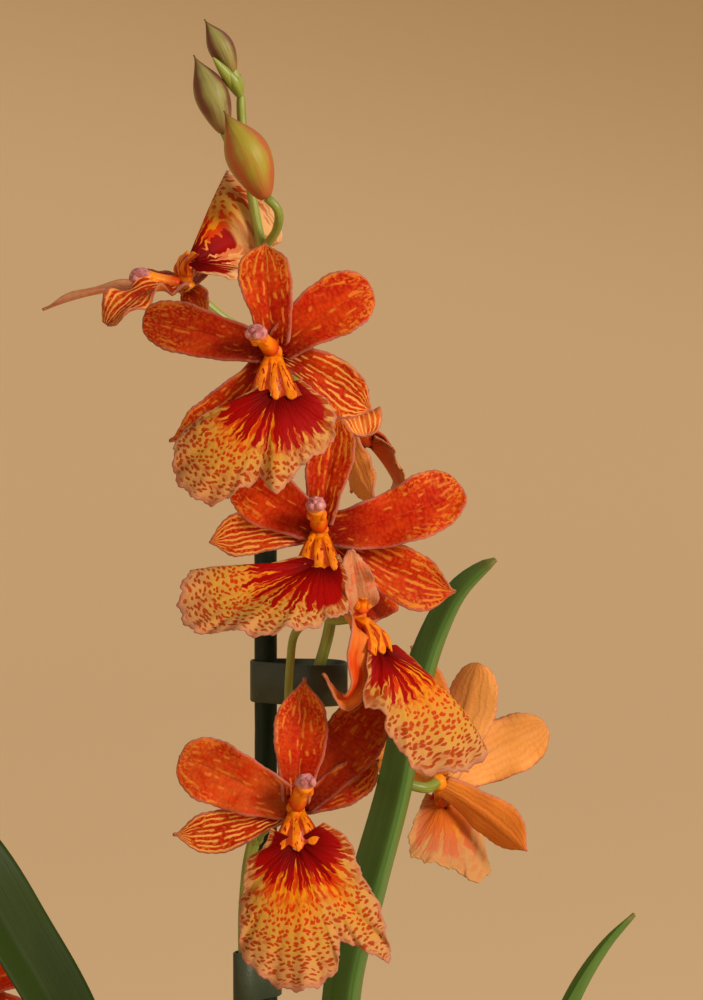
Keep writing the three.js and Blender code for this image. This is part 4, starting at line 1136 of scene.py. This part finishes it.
def make_spike(name, stem, blooms, bud_stalks, tip_buds):
    """The stem, then the bloom stalks, bud stalks and tip buds, then a bract at each bloom stalk."""
    form = Form()

    def stem_radius(s):
        return mix(STEM_FOOT_RADIUS, STEM_TOP_RADIUS, s) * min(1, 0.2 + 50 * (1 - s))

    add_limb(form, curve_points(stem, 16 * len(stem)), stem_radius, 18, 1)
    stalks = []
    for k, bloom_name in enumerate(blooms):
        bloom = BLOOMS[bloom_name]
        look = bloom_look(bloom)
        start = vec(bloom["centre"]) - look * STALK_START
        stalk = curve_points([start, start - look * NECK_LENGTH, *bloom["stalk"]], 44)
        add_limb(form, stalk, lambda s: mix(OVARY_RADIUS, STALK_RADIUS, min(1, s / OVARY_SHARE)), 14, k,
                 ridges=3, ridge_depth=0.05)
        stalks.append(stalk)
    for line in bud_stalks:
        add_limb(form, curve_points(line, 14), lambda s: STEM_TOP_RADIUS, 12, 3)
    fork = vec(stem[-1]) - (0, 0, TIP_BUD_DROP)
    for tip in tip_buds:
        add_limb(form, curve_points([fork, mix(fork, vec(tip), 0.5) + (0.8, 0, -0.4), tip], 20),
                 lambda s: 0.15 + 1.5 * math.sin(math.pi * (0.12 + 0.86 * s)), 14, 4)
    for k, stalk in enumerate(stalks):
        add_bract(form, stalk, k)
    form.piece(name + "_stems", STEM, "stem", [name])


def make_bud(name, root, tip, width, tone):
    root, tip = vec(root), vec(tip)
    way = unit(tip - root)
    side = unit(np.cross(way, (0, 1, 0)))
    line = curve_points([root - way * 0.8, mix(root, tip, 0.45) - side * width * 0.07, tip], 48)

    def swell(s):
        return max(0.2, width / 2 * math.sin(math.pi * (0.02 + 0.96 * s**0.92)) ** (0.6 + 1.1 * s))

    form = Form()
    add_limb(form, line, swell, 36, random.uniform(0, 9), ridges=3, ridge_depth=0.05)
    form.piece(name + "_closed", BUD_TONES[tone], "bud", [name])


def make_leaf(name, line, width, faces, folds=(55, 10), painted_shade=0.0):
    """A strap leaf, folded along its middle and waved at its edges."""
    faces = vec(faces)
    middle = curve_points(line, LEAF_STEPS + 1)
    s = np.linspace(0, 1, LEAF_STEPS + 1)
    q = np.linspace(-1, 1, 2 * LEAF_HALVES + 1)
    seed = float(random.uniform(0, 9))
    half = np.maximum(0.5, width / 2 * np.minimum(1, 0.35 + 1.8 * s) * np.sqrt(1 - s**5))
    bent = np.sqrt(q**2 + 0.0004)
    rows = np.zeros((len(s), len(q), 3))
    for k, tangent in enumerate(tangents_of(middle)):
        upper = across(tangent, faces)
        fold = math.radians(mix(*folds, s[k]))
        swing = 0.5 * q**2 * np.sin(17 * s[k] + seed + np.sign(q)) * smooth(0.1, 0.4, s[k])
        rows[k] = (middle[k] + np.outer(half[k] * q * math.cos(fold), np.cross(tangent, upper))
                   + np.outer(half[k] * bent * math.sin(fold) + swing, upper))
    along = s[:, None]
    thickness = np.tile(LEAF_THICK * (1 - 0.55 * np.abs(q) ** 3), (len(s), 1))
    span = vectors(along * lengths_along(middle)[-1], half[:, None] * q, seed)
    form = Form(mark=(0, 0, painted_shade))
    add_sheet(form, rows, thickness, vectors(along, q, 1), span, unit(faces))
    form.piece(name + "_blade", LEAF, "leaf", [name])


def make_bulb(name, foot, top, width, depth, faces):
    """A flattened bulb with twelve faint flutes."""
    line = curve_points([foot, mix(vec(foot), vec(top), 0.5), top], 44)

    def swell(s):
        return width / 2 * (0.34 + 0.66 * math.sin(math.pi * (0.12 + 0.8 * s**0.8)) ** 0.8)

    form = Form()
    add_limb(form, line, swell, 72, 2, depth / width, vec(faces), 12, 0.012)
    form.piece(name + "_flesh", BULB, "bulb", [name])


def outer_radius(height):
    return mix(POT_FOOT_RADIUS, POT_TOP_RADIUS - POT_RIM_STEP, height / POT_HEIGHT)


def inner_radius(height):
    return outer_radius(height) - POT_WALL


def rounded(profile, corner, steps=5):
    """A profile with its corners rounded."""
    result = [profile[0]]
    for before, at, after in zip(profile, profile[1:], profile[2:]):
        before, at, after = vec(before), vec(at), vec(after)
        near = min(corner, np.linalg.norm(before - at) / 2, np.linalg.norm(after - at) / 2)
        start = at + unit(before - at) * near
        end = at + unit(after - at) * near
        for t in np.linspace(0, 1, steps):
            result.append(tuple(mix(mix(start, at, t), mix(at, end, t), t)))
    return result + [profile[-1]]


def make_pot():
    """A clay pot with a stepped rim and drain holes."""
    waist = POT_HEIGHT - POT_RIM_HEIGHT
    profile = [
        (AXIS_HOLE, 0), (POT_FOOT_RADIUS, 0), (outer_radius(waist), waist), (POT_TOP_RADIUS - 2, waist),
        (POT_TOP_RADIUS, POT_HEIGHT), (inner_radius(POT_HEIGHT), POT_HEIGHT),
        (inner_radius(POT_FLOOR), POT_FLOOR), (AXIS_HOLE, POT_FLOOR),
    ]
    form = Form()
    lathe(form, rounded(profile, POT_ROUNDING), POT_SIDES)
    pot = form.piece("pot_clay", CLAY, "clay", ["pot"])
    for k in range(DRAIN_HOLES):
        angle = math.pi / 2 + 2 * math.pi * k / DRAIN_HOLES
        at = DRAIN_CIRCLE * MM * Vector((math.cos(angle), math.sin(angle), 0))
        bpy.ops.mesh.primitive_cylinder_add(vertices=DRAIN_SIDES, radius=DRAIN_RADIUS * MM,
                                            depth=4 * POT_FLOOR * MM, location=at)
        drill = bpy.context.object
        cut = pot.modifiers.new("drain", "BOOLEAN")
        cut.object = drill
        cut.operation = "DIFFERENCE"
        cut.solver = "EXACT"
        bpy.context.view_layer.objects.active = pot
        bpy.ops.object.modifier_apply(modifier="drain")
        bpy.data.objects.remove(drill)


def cube_skin():
    """Points and faces of a cube from -1 to 1 whose sides are each cut into four."""
    cells = (-1, 0, 1)
    corners = [(x, y, z) for x in cells for y in cells for z in cells if (x, y, z) != (0, 0, 0)]
    faces = []
    for axis in range(3):
        for end in (-1, 1):
            for u in (-1, 0):
                for v in (-1, 0):
                    loop = []
                    for du, dv in ((0, 0), (1, 0), (1, 1), (0, 1)):
                        spot = [u + du, v + dv]
                        spot.insert(axis, end)
                        loop.append(corners.index(tuple(spot)))
                    faces.append(tuple(loop))
    return [vec(corner) for corner in corners], faces


def make_bark():
    """A packed bed with rough chips standing out of it."""
    form = Form()
    bottom = POT_FLOOR + 0.5
    reach = inner_radius(BARK_TOP) - BARK_GAP
    profile = [(AXIS_HOLE, bottom), (inner_radius(POT_FLOOR) - BARK_GAP, bottom), (reach, BARK_TOP),
               (reach * 0.6, BARK_TOP + 1), (AXIS_HOLE, BARK_TOP + 2)]
    lathe(form, profile, BARK_SIDES)
    corners, faces = cube_skin()
    for k in range(CHIPS):
        radius = (reach - CHIP_INSET) * math.sqrt((k + 0.5) / CHIPS)
        angle = k * GOLDEN_ANGLE
        size = random.uniform(CHIP_LEAST, CHIP_MOST)
        lean = Matrix.Rotation(random.uniform(-CHIP_LEAN, CHIP_LEAN), 3, "X")
        lean = lean @ Matrix.Rotation(random.uniform(-CHIP_LEAN, CHIP_LEAN), 3, "Y")
        lean = np.array(Matrix.Rotation(random.uniform(0, math.pi), 3, "Z") @ lean)
        height = BARK_TOP + random.uniform(0.5, 3.5)
        middle = vec((radius * math.cos(angle), radius * math.sin(angle), height))
        points = []
        for corner in corners:
            squeeze = 0.86 if np.abs(corner).sum() == 3 else 1.0
            points.append(middle + lean @ (corner * size * squeeze * random.uniform(0.82, 1.12, 3)))
        shade = np.full((len(points), 3), random.uniform(0, 9))
        form.add(points, faces, np.ones((len(points), 3)), shade)
    form.piece("bark_chips", BARK, "bark", ["bark"], smooth_shade=False)


def make_stake():
    """A plastic rod with a blunt point below, a domed top and faint rings."""
    heights = np.r_[STAKE_FOOT, np.linspace(STAKE_FOOT + 6, STAKE_TOP - STAKE_DOME, 120),
                    STAKE_TOP - vec((1.6, 0.8, 0.2, 0))]
    total = STAKE_TOP - STAKE_FOOT

    def radius(s):
        left = (1 - s) * total
        dome = math.sqrt(max(0.03, 1 - max(0, 1 - left / STAKE_DOME) ** 2))
        point = min(1, 0.35 + s * total / 10)
        return STAKE_RADIUS * dome * point * (1 - 0.02 * max(0, math.sin(s * total / 2.2)))

    form = Form()
    add_limb(form, vectors(*STAKE_AT, heights), radius, 40)
    form.piece("stake_rod", STAKE, "stake", ["stake"])


def make_tie(name, low, height, loop):
    """A band drawn round two circles, the stake's and the stem's, with rounded edges."""
    (x1, y1), r1 = STAKE_AT, STAKE_RADIUS
    (x2, y2), r2 = loop
    way = math.atan2(y2 - y1, x2 - x1)

    def outline(extra):
        a, b = r1 + extra, r2 + extra
        lean = math.acos((a - b) / math.hypot(x2 - x1, y2 - y1))
        share = np.linspace(0, 1, TIE_ARC_POINTS)
        first = way + lean + (2 * math.pi - 2 * lean) * share
        second = way - lean + 2 * lean * share
        points = [(x1 + a * math.cos(t), y1 + a * math.sin(t)) for t in first]
        return points + [(x2 + b * math.cos(t), y2 + b * math.sin(t)) for t in second]

    inside, inner = outline(CLEARANCE), outline(CLEARANCE + TIE_BEVEL)
    outer, outside = outline(CLEARANCE + TIE_THICK - TIE_BEVEL), outline(CLEARANCE + TIE_THICK)
    top = low + height
    profile = [(inside, low + TIE_BEVEL), (inner, low), (outer, low), (outside, low + TIE_BEVEL),
               (outside, top - TIE_BEVEL), (outer, top), (inner, top), (inside, top - TIE_BEVEL)]
    rings = [[(x, y, z) for x, y in points] for points, z in profile]
    count = len(inside)
    last = (len(profile) - 1) * count
    faces = grid_faces(len(profile), count, wrap=True)
    faces += [(last + j, last + (j + 1) % count, (j + 1) % count, j) for j in range(count)]
    form = Form()
    form.add(rings, faces, np.ones((last + count, 3)), np.ones((last + count, 3)))
    form.piece(name + "_band", TIE, "tie", [name])


for name, bloom in BLOOMS.items():
    make_bloom(name, bloom)
for make, parts in ((make_spike, SPIKES), (make_bud, BUDS), (make_leaf, LEAVES), (make_bulb, BULBS),
                    (make_tie, TIES)):
    for name, facts in parts.items():
        make(name, **facts)
make_pot()
make_bark()
make_stake()


# Stage


def make_stage():
    """A pale warm studio bowl: flat floor, then a wide cove up to an open top. Its paper has painted
    shade and a faint painted glow.
    """
    m = Shader("studio_paper")
    x, y, z = m.split(m.place())
    far = m.math("SQRT", m.add(m.times(x, x), m.times(y, y)))
    # Painted shade: the paper is darker at the middle of the floor, where the lamps fall strongest, and
    # up the cove.
    paper = m.fade(1.0, 4.6, far, srgb(214, 186, 148), srgb(232, 204, 164))
    paper = m.fade(5.4, 8.0, far, paper, srgb(214, 184, 144))
    # Painted shade: the paper is darker towards the top and towards +X.
    paper = m.fade(0.25, 1.0, m.add(m.times(x, 0.25), z), paper, srgb(184, 150, 108))
    # Painted glow: the paper gives off a faint orange light of its own.
    material = m.finish(paper, 0.9, Emission_Color=(1, 0.58, 0.25, 1), Emission_Strength=0.17)
    profile = [(0.01, 0)] + [(BOWL_FLAT * k / 4, 0) for k in range(1, 5)]
    for k in range(1, BOWL_COVE_STEPS + 1):
        a = math.pi / 2 * k / BOWL_COVE_STEPS
        profile.append((mix(BOWL_FLAT, BOWL_REACH, math.sin(a)), BOWL_RISE * (1 - math.cos(a))))
    points = [point for ring in ring_points(profile, BOWL_SIDES) for point in ring]
    faces = grid_faces(len(profile), BOWL_SIDES, wrap=True) + [tuple(range(BOWL_SIDES))[::-1]]
    mesh = bpy.data.meshes.new("studio_bowl")
    mesh.from_pydata(points, [], faces)
    mesh.polygons.foreach_set("use_smooth", [True] * len(mesh.polygons))
    mesh.materials.append(material)
    bowl = bpy.data.objects.new("studio_bowl", mesh)
    bpy.context.scene.collection.objects.link(bowl)


def add_lamp(name, at, size, power, colour):
    lamp = bpy.data.lights.new(name, "AREA")
    lamp.shape = "DISK"
    lamp.size = size
    lamp.energy = power
    lamp.color = colour
    holder = bpy.data.objects.new(name, lamp)
    holder.location = at
    holder.rotation_mode = "QUATERNION"
    holder.rotation_quaternion = (Vector(LAMP_TARGET) - Vector(at)).to_track_quat("-Z", "Y")
    holder.visible_camera = False
    bpy.context.scene.collection.objects.link(holder)


def make_camera():
    camera = bpy.data.objects.new("camera", bpy.data.cameras.new("camera"))
    camera.data.sensor_width = SENSOR
    camera.data.lens = CAMERA_DISTANCE * PIXELS_PER_MM / PHOTO_HEIGHT * SENSOR
    camera.data.clip_start = 0.05
    camera.data.clip_end = 50
    back = Vector((0, -math.cos(CAMERA_PITCH), math.sin(CAMERA_PITCH)))
    camera.location = (Vector(CAMERA_TARGET) + CAMERA_DISTANCE * back) * MM
    camera.rotation_mode = "QUATERNION"
    camera.rotation_quaternion = (-back).to_track_quat("-Z", "Y")
    bpy.context.scene.collection.objects.link(camera)
    bpy.context.scene.camera = camera


make_stage()
add_lamp("key_lamp", **KEY_LAMP)
add_lamp("fill_lamp", **FILL_LAMP)
make_camera()

world = bpy.data.worlds.new("studio_light")
world.use_nodes = True
background = world.node_tree.nodes["Background"]
background.inputs["Color"].default_value = WORLD_COLOUR
background.inputs["Strength"].default_value = WORLD_STRENGTH
bpy.context.scene.world = world
bpy.context.scene.view_settings.view_transform = "Standard"
